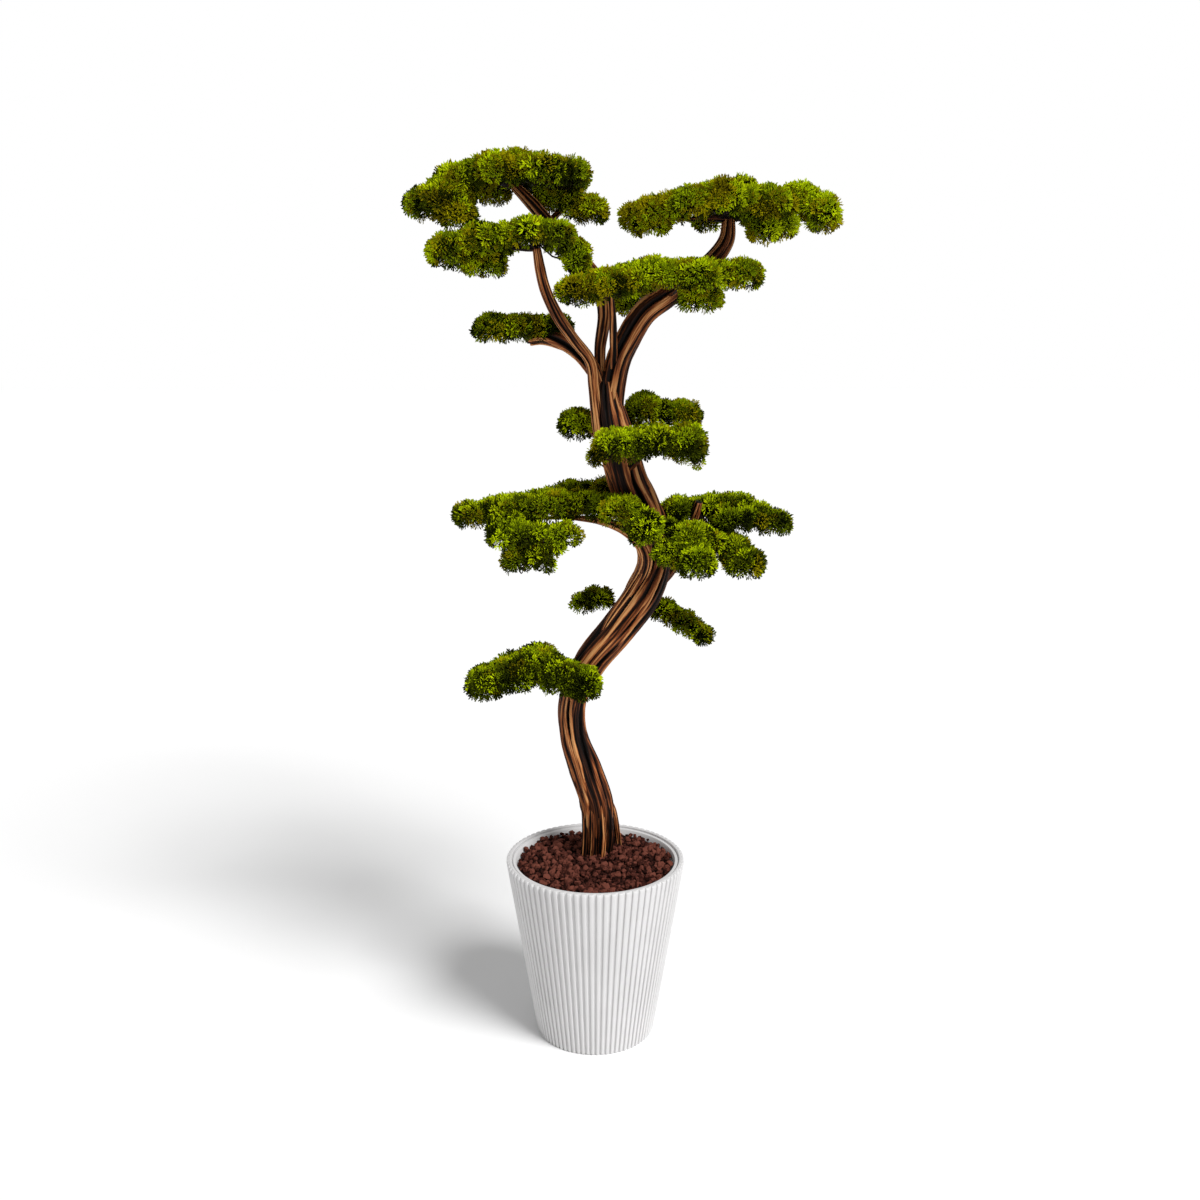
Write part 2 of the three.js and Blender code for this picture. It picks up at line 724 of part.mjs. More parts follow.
const materials = {
  planter: matte(0xeeedea, 0.5),
  gravel: matte(0x55302a, 0.95),
  bark: matte(0x6b3f24, 0.75),
  foliage: matte(0x6f8a16, 0.7),
};

// Assembly: each mesh's geometry starts from its own place
function place(parent, name, solid, material, [x, y, z]) {
  const geometry = toGeometry(solid);
  geometry.translate(-x, -y, -z);
  const mesh = new THREE.Mesh(geometry, material);
  mesh.name = name;
  mesh.position.set(x, y, z);
  parent.add(mesh);
}

const bonsai = new THREE.Group();
const pot = new THREE.Group();
const tree = new THREE.Group();
bonsai.add(pot, tree);

place(pot, 'planter', planterSolid(), materials.planter, [0, 0, 0]);
place(pot, 'gravel', gravelSolid(), materials.gravel, [0, 0, planter.floor]);

const limbs = buildLimbs();
for (const { name, solid, spine } of limbs) place(tree, name, solid, materials.bark, spine[0]);

const stems = masses.map((mass) => stemSolid(mass, limbs, touchGap * 2));
masses.forEach((mass, number) => {
  place(tree, mass.name, massSolid(mass, number, limbs, stems), materials.foliage, mass.lobes[0]);
});

export default bonsai;
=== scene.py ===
import json
import math

import bmesh
import bpy
import numpy as np
from mathutils import Matrix, Vector

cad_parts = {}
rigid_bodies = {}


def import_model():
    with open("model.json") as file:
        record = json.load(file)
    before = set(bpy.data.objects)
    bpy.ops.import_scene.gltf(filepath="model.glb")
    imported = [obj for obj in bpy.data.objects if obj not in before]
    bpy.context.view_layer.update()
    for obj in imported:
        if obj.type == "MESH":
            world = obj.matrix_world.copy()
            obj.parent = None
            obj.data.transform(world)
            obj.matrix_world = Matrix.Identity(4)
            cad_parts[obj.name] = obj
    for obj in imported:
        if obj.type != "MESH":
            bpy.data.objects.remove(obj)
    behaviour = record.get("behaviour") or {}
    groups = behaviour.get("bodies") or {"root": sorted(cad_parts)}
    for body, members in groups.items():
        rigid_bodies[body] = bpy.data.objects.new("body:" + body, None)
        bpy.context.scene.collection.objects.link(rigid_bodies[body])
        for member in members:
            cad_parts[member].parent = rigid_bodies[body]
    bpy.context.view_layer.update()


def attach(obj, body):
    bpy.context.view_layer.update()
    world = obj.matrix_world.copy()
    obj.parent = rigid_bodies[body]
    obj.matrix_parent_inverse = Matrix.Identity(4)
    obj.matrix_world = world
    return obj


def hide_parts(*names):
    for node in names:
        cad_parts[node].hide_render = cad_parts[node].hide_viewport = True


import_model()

mm = 0.001
goldenAngle = math.pi * (3 - math.sqrt(5))
seeds = {"growth": 5, "gravel": 3, "limbs": 20, "strands": 50, "sprigs": 70, "sprays": 4}
rng = np.random.default_rng(seeds["growth"])

# Planter: a turned clay wall with upright ribs that leave narrow flutes between them
planter = {
    "height": 365, "rimRadius": 176, "footRadius": 118, "ribs": 78, "ribShare": 0.62, "fluteDepth": 3.4,
    "edgeRound": 4, "rimInside": 166, "grooveWidth": 2, "grooveDrop": 6, "lipInside": 157, "lipDrop": 3,
    "innerWall": 152.5, "bed": 335, "turns": 156,
}

# Lava gravel: stones scattered over a low mound, sunk into it and turned at random
gravel = {
    "edge": 357, "top": 359, "moundRadius": 92, "radius": 150.5, "stoneSize": 6.2, "corners": 16,
    "cornerReach": [0.8, 1.1], "stretch": [0.7, 1.25], "spacing": 7, "density": 60000, "kinds": 12,
    "sizes": [0.65, 1.35], "maxTurn": 6.28, "sunk": 6,
}

# Kinds of limb: strands and their twist in radians from end to end, the size of fine ones and the floor of
# grooves in shares of the radius, how much paler than the trunk, and mm from ring to ring
trunkKind = {"broad": 13, "fine": 13, "twist": 1.7, "fineSize": 0.11, "floor": 0.7, "paler": 0,
             "ringStep": 3, "sides": 160}
leaderKind = {"broad": 8, "fine": 6, "twist": 1, "fineSize": 0.15, "floor": 0.52, "paler": 0.24,
              "ringStep": 3, "sides": 84}
boughKind = {"broad": 5, "fine": 3, "twist": 0.9, "fineSize": 0.2, "floor": 0.52, "paler": 0.1,
             "ringStep": 3.5, "sides": 60}
thickKind = dict(leaderKind, sides=112)
shortKind = dict(boughKind, sides=48)
looseKind = dict(boughKind, ringStep=3, sides=40)
stemKind = dict(boughKind, ringStep=4, sides=24, paler=-0.5)

# Limbs: name, kind and a spine of [x, y, z, radius] in mm
limbs = [
    ["trunk", trunkKind, [
        [4, 50, 340, 27], [4, 47, 375, 29], [3, 41, 460, 34], [-19, 36, 535, 33], [-43, 29, 615, 27],
        [-43, 25, 685, 26.5], [-10, 20, 757, 32], [43, 19, 825, 34.5], [91, 28, 891, 36],
        [113, 38, 944, 31.5], [113, 41, 985, 33.5], [101, 42, 1024, 37], [83, 37, 1066, 38],
        [62, 32, 1110, 38], [50, 32, 1150, 37], [39, 33, 1186, 37], [27, 36, 1230, 33], [21, 38, 1272, 24],
        [20, 39, 1312, 8]]],
    ["leader_right", thickKind, [
        [31, 39, 1190, 14], [34, 40, 1235, 20], [35, 40, 1280, 23], [44, 38, 1332, 24],
        [57, 37, 1360, 23.5], [92, 36, 1417, 23], [128, 38, 1445, 23], [169, 40, 1474, 21],
        [213, 42, 1509, 17.5], [240, 42, 1547, 15], [243, 40, 1588, 12]]],
    ["leader_left", leaderKind, [
        [60, 20, 1066, 5], [40, 15, 1110, 9], [25, 15, 1150, 11], [10, 20, 1195, 12], [3, 25, 1240, 11.5],
        [-2, 26, 1285, 10.5], [-8, 18, 1330, 10.5], [-40, 1, 1373, 10.5], [-67, -14, 1412, 11],
        [-88, -30, 1457, 10.5], [-97, -38, 1495, 10], [-102, -45, 1527, 8]]],
    ["leader_middle", leaderKind, [
        [18, 46, 1225, 9], [12, 52, 1290, 9.5], [9, 56, 1352, 10.5], [17, 60, 1420, 13], [5, 62, 1474, 15],
        [-58, 55, 1546, 14], [-114, 47, 1610, 12], [-153, 44, 1648, 8]]],
    ["bough_side", leaderKind, [
        [12, 36, 1282, 10], [-4, 40, 1316, 14], [-32, 46, 1350, 17], [-66, 58, 1368, 16],
        [-96, 70, 1374, 14], [-122, 78, 1369, 11]]],
    ["bough_arch", leaderKind, [
        [-2, 8, 775, 6], [26, 4, 837, 10], [72, 12, 904, 12.5], [93, 10, 945, 13.5], [95, -1, 975, 14],
        [80, -9, 1004, 14], [49, -7, 1025, 10], [8, 8, 1037, 8], [-38, 22, 1040, 5]]],
    ["bough_right", boughKind, [
        [98, 34, 890, 12], [138, 54, 928, 14], [171, 64, 978, 12], [189, 68, 1020, 10],
        [194, 68, 1046, 8]]],
    ["bough_low", boughKind, [
        [-42, 16, 690, 11], [-56, -8, 712, 10], [-76, -24, 730, 8], [-104, -30, 740, 5.5]]],
    ["bough_centre", boughKind, [
        [36, 26, 1318, 8], [34, 14, 1375, 7.5], [32, -6, 1412, 7], [28, -32, 1446, 6]]],
    ["bough_centre_right", shortKind, [[130, 36, 1447, 8], [142, 6, 1457, 7], [150, -28, 1466, 5]]],
    ["bough_centre_back", shortKind, [[114, 44, 1440, 8], [115, 70, 1452, 7], [118, 92, 1462, 5]]],
    ["bough_crown_back", shortKind, [[-86, 52, 1576, 7], [-68, 72, 1596, 6], [-56, 88, 1612, 5]]],
    ["bough_waist_front", shortKind, [[56, 22, 1122, 9], [74, -12, 1150, 8], [92, -34, 1172, 5.5]]],
    ["bough_waist_back", shortKind, [[48, 44, 1145, 9], [64, 80, 1182, 8], [82, 100, 1210, 5.5]]],
    ["bough_waist_left", shortKind, [[34, 44, 1160, 8], [10, 76, 1184, 7], [-10, 96, 1198, 5]]],
    ["bough_arch_back", shortKind, [[86, 50, 1040, 9], [52, 78, 1062, 8], [8, 100, 1076, 5]]],
    ["bough_knee", shortKind, [[62, 30, 836, 9], [74, 70, 846, 8], [84, 100, 854, 5.5]]],
]

# Spines of strands that spread from the trunk's foot into the gravel, and of a cut stub at the right pads
looseStrands = [
    [[-24, 30, 520, 4], [-22, 27, 470, 7], [-19, 25, 405, 8], [-22, 26, 344, 7.5]],
    [[-8, 18, 500, 4], [-6, 17, 440, 8], [-5, 18, 390, 8.5], [-6, 22, 344, 8.5]],
    [[8, 16, 490, 4], [12, 15, 440, 7], [14, 17, 395, 8], [11, 20, 344, 8]],
    [[20, 20, 480, 4], [27, 24, 440, 7], [30, 30, 395, 7.5], [26, 34, 344, 8]],
    [[6, 40, 520, 5], [23, 46, 472, 8], [35, 54, 438, 8], [41, 66, 400, 8], [47, 88, 344, 7.5]],
    [[18, 50, 470, 6], [28, 58, 430, 7], [33, 68, 390, 7], [35, 76, 344, 7]],
    [[186, 60, 1016, 8], [193, 48, 1046, 8.5], [197, 40, 1068, 7]],
]

# Foliage masses: node, the limb or trunk height that carries it, and its lobes as
# [x, y, z, half width, half depth, half height] in mm
regions = {
    "crownLeft": [
        ["crown_left_outer", "leader_middle",
         [-240, 35, 1648, 54, 60, 35], [-277, 10, 1609, 65, 60, 34], [-243, -8, 1590, 42, 44, 29]],
        ["crown_left_top", "leader_middle",
         [-178, 22, 1663, 54, 72, 34], [-138, 60, 1683, 35, 52, 27], [-190, 78, 1636, 42, 44, 21]],
        ["crown_left_inner", "leader_middle",
         [-90, 0, 1663, 48, 60, 29], [-46, 12, 1658, 44, 55, 29], [-84, 88, 1646, 44, 38, 24],
         [-124, 86, 1652, 36, 34, 20]],
        ["crown_left_low", "bough_crown_back", [-64, 100, 1624, 50, 50, 24], [-10, 74, 1605, 40, 46, 28]],
    ],
    "leftPads": [
        ["leader_pad_outer", "leader_left",
         [-190, -20, 1545, 56, 62, 28], [-254, -30, 1525, 48, 50, 37], [-200, 8, 1506, 48, 46, 25]],
        ["leader_pad_inner", "leader_left",
         [-116, -50, 1554, 40, 50, 32], [-64, -42, 1548, 36, 46, 32], [-31, -32, 1514, 26, 36, 40]],
        ["side_pad_outer", "bough_side", [-140, 74, 1393, 44, 44, 28], [-190, 70, 1393, 43, 46, 31]],
        ["side_pad_inner", "bough_side", [-77, 94, 1393, 43, 46, 28]],
    ],
    "crownRight": [
        ["crown_right_left", "leader_right",
         [106, 2, 1592, 44, 55, 31], [70, 26, 1590, 30, 40, 25], [100, -6, 1574, 42, 36, 18],
         [76, -16, 1569, 15, 18, 15]],
        ["crown_right_front", "leader_right",
         [224, -16, 1613, 50, 64, 35], [167, -30, 1606, 46, 55, 30], [268, 62, 1636, 36, 46, 27],
         [204, 62, 1586, 31, 36, 20]],
        ["crown_right_middle", "leader_right",
         [306, 18, 1600, 57, 70, 42], [336, 0, 1572, 30, 38, 27], [302, -6, 1564, 38, 42, 23]],
        ["crown_right_tip", "leader_right", [368, 54, 1622, 45, 50, 31], [410, 22, 1591, 33, 45, 42]],
    ],
    "centrePads": [
        ["centre_pad_left", "bough_centre", [28, -60, 1465, 54, 58, 32], [-30, -60, 1456, 44, 46, 30]],
        ["centre_pad_middle", "bough_centre", [102, -52, 1484, 52, 58, 30]],
        ["centre_pad_right", "bough_centre_right",
         [180, -58, 1480, 51, 58, 32], [260, -30, 1485, 46, 50, 29], [190, -12, 1445, 46, 42, 27]],
        ["centre_pad_back", "bough_centre_back",
         [160, 112, 1476, 50, 46, 25], [100, 110, 1472, 44, 42, 23]],
        ["centre_tuft", "bough_centre_back", [60, 92, 1438, 32, 32, 24]],
    ],
    "waistPads": [
        ["waist_pad_left", "bough_waist_left", [-33, 110, 1212, 42, 50, 34]],
        ["waist_pad_back", "bough_waist_back", [94, 116, 1238, 42, 46, 38], [166, 110, 1231, 48, 46, 29]],
        ["waist_pad_front", "bough_waist_front",
         [109, -54, 1192, 44, 50, 33], [47, -56, 1185, 58, 48, 35], [167, -34, 1185, 40, 50, 46],
         [4, -46, 1168, 16, 24, 20], [184, -40, 1160, 11, 14, 14]],
    ],
    "archPads": [
        ["arch_pad_back", "bough_arch_back", [13, 112, 1086, 28, 38, 24], [-40, 118, 1078, 48, 48, 22]],
        ["arch_pad_outer", "bough_arch", [-168, 30, 1056, 54, 58, 29], [-232, 20, 1049, 42, 46, 26]],
        ["arch_pad_top", "bough_arch", [-90, 30, 1064, 54, 60, 33], [-18, 42, 1063, 54, 50, 28]],
        ["arch_pad_hanging", "bough_arch",
         [-152, -34, 1022, 58, 50, 33], [-62, -34, 1020, 46, 44, 27], [-105, -40, 990, 42, 38, 32],
         [-144, -42, 974, 38, 38, 32], [-92, -42, 970, 26, 28, 24]],
        ["arch_pad_trunk", 1050, [48, -28, 1063, 48, 44, 32], [92, -50, 1033, 38, 32, 42]],
    ],
    "rightPads": [
        ["right_pad_upper", "bough_right",
         [226, 98, 1050, 42, 52, 28], [162, 86, 1045, 40, 46, 34], [270, 94, 1055, 50, 48, 24]],
        ["right_pad_tip", "bough_right",
         [266, 30, 1038, 50, 44, 21], [344, 50, 1030, 40, 40, 23], [310, 58, 1046, 34, 40, 21]],
        ["right_pad_lower", 985,
         [178, -22, 1012, 52, 50, 30], [138, -40, 986, 35, 34, 31], [186, -62, 973, 42, 44, 36],
         [144, 16, 1026, 20, 30, 16], [232, 38, 1018, 28, 32, 15]],
        ["right_pad_lower_tip", "bough_right", [252, -4, 992, 46, 44, 24], [278, -34, 967, 44, 44, 33]],
    ],
    "lowPads": [
        ["knee_pad_left", "bough_knee", [4, 120, 866, 40, 44, 17], [-24, 112, 860, 28, 34, 14]],
        ["knee_pad_right", "bough_knee",
         [136, 112, 845, 33, 40, 22], [176, 102, 823, 31, 38, 21], [212, 92, 799, 25, 35, 24]],
        ["low_pad_outer", "bough_low", [-152, -30, 754, 48, 62, 38], [-207, -30, 734, 41, 50, 37]],
        ["low_pad_inner", "bough_low",
         [-110, -14, 766, 50, 58, 39], [-62, -52, 752, 48, 48, 38], [-20, -58, 739, 35, 38, 41]],
    ],
}
looseMasses = ["arch_pad_hanging"]

# Painted light and shade of regions, and of masses that differ: how much lighter, and how many times as many
# olive sprays
paintedLightAndOlive = {
    "crownLeft": [-0.05, 3.2], "leftPads": [0.18, 0.9], "crownRight": [0.3, 2.4], "centrePads": [0.22, 2],
    "waistPads": [-0.15, 0.6], "archPads": [-0.05, 0.7], "rightPads": [-0.13, 0.4], "lowPads": [-0.55, 0.3],
    "side_pad_outer": [-0.24, 1.5], "side_pad_inner": [-0.28, 1.5], "waist_pad_left": [-0.22, 1.5],
    "waist_pad_back": [-0.32, 1.2], "arch_pad_back": [-0.2, 1.2], "knee_pad_left": [-0.14, 1.2],
    "knee_pad_right": [-0.12, 0.8], "crown_left_low": [-0.15, 2],
}

# Greens, each dealt to whole sprays: the first paint light on the lit tops, the last paint shade on the
# undersides.
# A spray takes the low shades as painted shade at a light of 0 and the top shades as painted light at 1.
greens = ["c6d810", "aebc0f", "8fa20d", "a69c0c", "6f7e0b", "7d740a", "454e09", "232a05"]
paintedLitChances = [0.24, 0.28, 0.22, 0.12, 0.09, 0.05, 0, 0]
paintedShadeChances = [0, 0.02, 0.05, 0.05, 0.16, 0.12, 0.28, 0.32]
oliveGreens = [3, 5]
# How much painted light a spray gets: a middle share, a rise for sprays that point up, and random spread by
# lobe and by spray
paintedLight = {"middle": 0.4, "rise": 0.95, "lobeSpread": 0.2, "spraySpread": 0.25}


def linear(hexCode):
    channels = [int(hexCode[i:i + 2], 16) / 255 for i in (0, 2, 4)]
    return (*[c / 12.92 if c <= 0.04045 else ((c + 0.055) / 1.055) ** 2.4 for c in channels], 1)


# Adds a node with its inputs, values or sockets, its colour stops and other settings, and gives its outputs
def addNode(tree, kind, inputs=None, stops=None, **settings):
    node = tree.nodes.new(kind)
    for name, value in settings.items():
        setattr(node, name, value)
    for key, value in (inputs or {}).items():
        if isinstance(value, bpy.types.NodeSocket):
            tree.links.new(value, node.inputs[key])
        else:
            node.inputs[key].default_value = value
    if stops:
        elements = node.color_ramp.elements
        elements[0].position, elements[1].position = stops[0][0], stops[-1][0]
        for position, hexCode in stops[1:-1]:
            elements.new(position).color = linear(hexCode)
        elements[0].color = linear(stops[0][1])
        elements[len(stops) - 1].color = linear(stops[-1][1])
    return node.outputs


finishes = {}


# A new material, kept among the finishes by a short key
def newFinish(key, name, roughness, gloss=0.5):
    finishes[key] = bpy.data.materials.new(name)
    finishes[key].use_nodes = True
    tree = finishes[key].node_tree
    shader = tree.nodes["Principled BSDF"]
    shader.inputs["Roughness"].default_value = roughness
    shader.inputs["Specular IOR Level"].default_value = gloss
    return tree, shader


def attribute(tree, name):
    return addNode(tree, "ShaderNodeAttribute", attribute_name=name)["Fac"]


# Textures in the piece's own space, with features of a size in mm
def noise(tree, size, detail):
    place = addNode(tree, "ShaderNodeTexCoord")["Object"]
    return addNode(tree, "ShaderNodeTexNoise", {
        "Vector": place, "Scale": 1 / (size * mm), "Detail": detail})["Fac"]


def cells(tree, size):
    place = addNode(tree, "ShaderNodeTexCoord")["Object"]
    return addNode(tree, "ShaderNodeTexVoronoi", {"Vector": place, "Scale": 1 / (size * mm)})["Distance"]


# Noise drawn out along the grain, with features of a width and a length in mm
def grainNoise(tree, width, length, detail):
    grain = addNode(tree, "ShaderNodeUVMap", uv_map="grain")["UV"]
    scale = (1 / (width * mm), 1 / (length * mm), 1)
    drawn = addNode(tree, "ShaderNodeMapping", {"Vector": grain, "Scale": scale})["Vector"]
    return addNode(tree, "ShaderNodeTexNoise", {"Vector": drawn, "Scale": 1, "Detail": detail})["Fac"]


# A value times a factor, plus another value
def scaledSum(tree, value, factor, other):
    return addNode(tree, "ShaderNodeMath", {0: value, 1: factor, 2: other}, operation="MULTIPLY_ADD")[0]


# Colours a shader by a value that runs over colour stops
def colour(tree, shader, value, stops):
    tone = addNode(tree, "ShaderNodeValToRGB", {"Fac": value}, stops=stops)
    tree.links.new(tone["Color"], shader.inputs["Base Color"])


# Raises a shader's surface by a height, with a depth in mm
def bump(tree, shader, height, strength, depth):
    inputs = {"Height": height, "Strength": strength, "Distance": depth * mm}
    tree.links.new(addNode(tree, "ShaderNodeBump", inputs)["Normal"], shader.inputs["Normal"])


# One even colour
def plainFinish(key, name, roughness, gloss, hexCode):
    newFinish(key, name, roughness, gloss)[1].inputs["Base Color"].default_value = linear(hexCode)


# Matt white fibre clay: almost even, with faint cloudy toning and a fine cast texture
tree, shader = newFinish("clay", "matteFibreClay", 0.5)
colour(tree, shader, noise(tree, 90, 3), [(0.3, "d1d0d0"), (0.7, "d8d7d7")])
bump(tree, shader, noise(tree, 2.5, 2), 0.12, 0.4)

# Lava rock: red-brown and dull, toned from stone to stone and pitted by pores 2.2 mm apart
tree, shader = newFinish("rock", "lavaRock", 0.92, 0.1)
level = scaledSum(tree, attribute(tree, "tone"), 0.6, noise(tree, 3, 3))
colour(tree, shader, level, [(0.35, "0f0503"), (0.6, "2b120d"), (0.82, "4a241c"), (1, "6d3d31")])
bump(tree, shader, cells(tree, 2.2), 0.35, 1)

# Oiled strand wood: painted shade makes the grooves almost black, broad faces are dark brown and a painted
# highlight makes the crests orange tan, with fibres 2.6 mm apart and streaks 7 mm apart that run along each
# limb
tree, shader = newFinish("bark", "oiledStrandWood", 0.55, 0.12)
fibres, streaks = grainNoise(tree, 2.6, 60, 4), grainNoise(tree, 7, 110, 2)
ridge, tint = attribute(tree, "ridge"), attribute(tree, "tint")
# The ridge share paints shade in the grooves and highlight on the crests; tint, fibres and streaks are the
# wood's own tone
level = -2.31
for value, factor in ((ridge, 1.85), (tint, 0.5), (fibres, 1.1), (streaks, 0.8)):
    level = scaledSum(tree, value, factor, level)
colour(tree, shader, level, [(0.08, "050201"), (0.32, "1f0d06"), (0.5, "42210f"), (0.66, "7d4222"),
                             (0.8, "ad6b3b"), (0.94, "cd935d")])
bump(tree, shader, fibres, 0.8, 1.5)

# Wrapped wire twigs: black-brown tape with a slight waxy gloss
tree, shader = newFinish("wire", "tapedWire", 0.5, 0.15)
colour(tree, shader, noise(tree, 6, 2), [(0.3, "120b07"), (0.7, "2d1d12")])

# The inside of a pad, painted black-green as the shade deep in it: rough, broken up like packed sprigs 5 mm
# apart
tree, shader = newFinish("inside", "packedSprigsPaintedShade", 0.9, 0)
clumps = cells(tree, 5)
colour(tree, shader, clumps, [(0.1, "0f1506"), (0.5, "050702")])
bump(tree, shader, clumps, 1, 4)

# Moulded soft plastic leaf: matt, one even colour for each spray
for number, hexCode in enumerate(greens):
    plainFinish(number, f"mouldedSprig{number}", 0.6, 0, hexCode)
# The stalks, painted near-black green as the shade deep inside each sprig
plainFinish("stalk", "sprigStalkPaintedShade", 0.6, 0, "171c08")


def newObject(name, data, finish=None):
    piece = bpy.data.objects.new(name, data)
    if finish:
        data.materials.append(finish)
    bpy.context.scene.collection.objects.link(piece)
    return piece


def meshFrom(name, points, faces, smooth=True):
    mesh = bpy.data.meshes.new(name)
    mesh.from_pydata([tuple(p) for p in points], [], [tuple(int(i) for i in f) for f in faces])
    mesh.validate()
    mesh.polygons.foreach_set("use_smooth", [smooth] * len(mesh.polygons))
    mesh.update()
    return mesh


def store(mesh, name, kind, values, domain="POINT", field="value"):
    mesh.attributes.new(name, kind, domain).data.foreach_set(field, values)


# Joins shapes, each (points in mm, faces), into one list of points in metres and one of faces
def joined(shapes):
    points, faces, start = [], [], 0
    for shapePoints, shapeFaces in shapes:
        points.append(np.asarray(shapePoints) * mm)
        faces.extend([tuple(i + start for i in face) for face in shapeFaces])
        start += len(shapePoints)
    return np.vstack(points), faces


# The faces of a tube: four-sided ones between its rings of points, and a flat cap at each end
def tubeFaces(rings, sides, capped=True):
    index = np.arange(rings * sides).reshape(rings, sides)
    turned = np.roll(index, -1, axis=1)
    faces = np.stack([index[:-1], turned[:-1], turned[1:], index[1:]], axis=-1).reshape(-1, 4).tolist()
    return faces + [index[0, ::-1].tolist(), index[-1].tolist()] if capped else faces


# Welds points closer than 0.02 mm and turns the faces outwards
def recalculated(mesh):
    work = bmesh.new()
    work.from_mesh(mesh)
    bmesh.ops.remove_doubles(work, verts=work.verts, dist=0.02 * mm)
    bmesh.ops.recalc_face_normals(work, faces=work.faces)
    work.to_mesh(mesh)
    work.free()
    return mesh


# One piece of joined shapes, smooth apart from edges sharper than the crease in degrees
def solidPiece(name, shapes, finish=None, crease=None):
    mesh = recalculated(meshFrom(name, *joined(shapes)))
    if crease:
        mesh.polygons.foreach_set("use_smooth", [True] * len(mesh.polygons))
        mesh.set_sharp_from_angle(angle=math.radians(crease))
    return newObject(name, mesh, finish)


def settle(piece, slot, *nodes):
    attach(piece, "root")
    if nodes:
        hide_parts(*nodes)


# Geometry Nodes trees start from an input geometry and named inputs
def newTree(name, sockets):
    tree = bpy.data.node_groups.new(name, "GeometryNodeTree")
    tree.interface.new_socket("Geometry", in_out="INPUT", socket_type="NodeSocketGeometry")
    for label, kind in sockets.items():
        tree.interface.new_socket(label, in_out="INPUT", socket_type="NodeSocket" + kind)
    tree.interface.new_socket("Geometry", in_out="OUTPUT", socket_type="NodeSocketGeometry")
    return tree, addNode(tree, "NodeGroupInput")


def painted(tree, shape, finish, chosen=True):
    inputs = {"Geometry": shape, "Selection": chosen, "Material": finish}
    return addNode(tree, "GeometryNodeSetMaterial", inputs)[0]


# Makes instances one painted shape
def realized(tree, instances, finish):
    shape = addNode(tree, "GeometryNodeRealizeInstances", {"Geometry": instances})[0]
    return painted(tree, shape, finish)


# A random number or vector for each instance, from one value to another
def randomValue(tree, seed, low, high):
    kind, socket = ("FLOAT_VECTOR", 0) if isinstance(low, tuple) else ("FLOAT", 1)
    inputs = {2 * socket: low, 2 * socket + 1: high, "Seed": seed}
    return addNode(tree, "FunctionNodeRandomValue", inputs, data_type=kind)[socket]


# Puts a pattern of a collection, picked at random, on each point
def scattered(tree, points, patterns, turn, size):
    kinds = addNode(tree, "GeometryNodeCollectionInfo", {
        "Collection": patterns, "Separate Children": True, "Reset Children": True})
    return addNode(tree, "GeometryNodeInstanceOnPoints", {
        "Points": points, "Instance": kinds[0], "Pick Instance": True, "Rotation": turn,
        "Scale": size})[0]


# Runs a tree on a holder and keeps its result as a plain mesh, without the holder
def grownBy(tree, holder, values, name):
    modifier = holder.modifiers.new(tree.name, "NODES")
    modifier.node_group = tree
    for item in tree.interface.items_tree:
        if item.in_out == "INPUT" and item.name in values:
            modifier[item.identifier] = values[item.name]
    holder.update_tag()
    bpy.context.view_layer.update()
    evaluated = holder.evaluated_get(bpy.context.evaluated_depsgraph_get())
    mesh = bpy.data.meshes.new_from_object(evaluated)
    mesh.name = name
    bpy.data.objects.remove(holder)
    return newObject(name, mesh)


# Planter: the turned wall, with its edges rounded by 1 to 2 mm
def turnedWall():
    depth, foot, rim, top = (planter[key] for key in ("fluteDepth", "footRadius", "rimRadius", "height"))
    inside, lip, lipTop = planter["rimInside"], planter["lipInside"], top - planter["lipDrop"]
    groove, grooveFloor = inside - planter["grooveWidth"], top - planter["grooveDrop"]
    profile = [
        [0, 0], [foot - depth - 1, 0], [foot - depth, 1], [rim - depth, top - planter["edgeRound"]],
        [rim - depth - 0.6, top - 1.2], [rim - depth - 2, top], [inside + 1.2, top], [inside, top - 1],
        [inside - 0.3, grooveFloor], [groove, grooveFloor], [groove - 0.4, lipTop - 0.8],
        [groove - 1.2, lipTop], [lip + 1.4, lipTop - 0.4], [lip, lipTop - 2],
        [planter["innerWall"], planter["bed"]], [0, planter["bed"]],
    ]
    angles = np.arange(planter["turns"]) * math.tau / planter["turns"]
    points = [[r * math.cos(a), r * math.sin(a), height] for r, height in profile for a in angles]
    return points, tubeFaces(len(profile), planter["turns"], capped=False)


# One rib: a rounded bar that widens towards the rim and turns over onto it, with its back sunk into the wall
def ribShape():
    depth, foot, rim, top = (planter[key] for key in ("fluteDepth", "footRadius", "rimRadius", "height"))
    across = [-1, -0.97, -0.86, -0.55, 0, 0.55, 0.86, 0.97, 1]
    lift = [0, 0.6, 0.86, 0.98, 1, 0.98, 0.86, 0.6, 0]
    stations = [0, 1.2, 4, 90, 180, 270, top - 5, top - 2.6, top - 1.2, top - 0.4, top - 0.1]
    rise = [0.55, 0.88, 1, 1, 1, 1, 1, 0.95, 0.75, 0.4, -0.1]
    edgeSunk, backSunk, backShare = 0.6, 1.5, 0.9
    points = []
    for height, share in zip(stations, rise):
        radius = min(foot + (rim - foot) * height / (top - planter["edgeRound"]), rim) - depth
        halfWidth = math.pi / planter["ribs"] * planter["ribShare"] * (radius + depth)
        for x, y in zip(across, lift):
            points.append([radius + depth * y * share - (1 - abs(y)) * edgeSunk, x * halfWidth, height])
        points += [[radius - backSunk, side * halfWidth * backShare, height] for side in (1, -1)]
    return points, tubeFaces(len(stations), len(across) + 2)


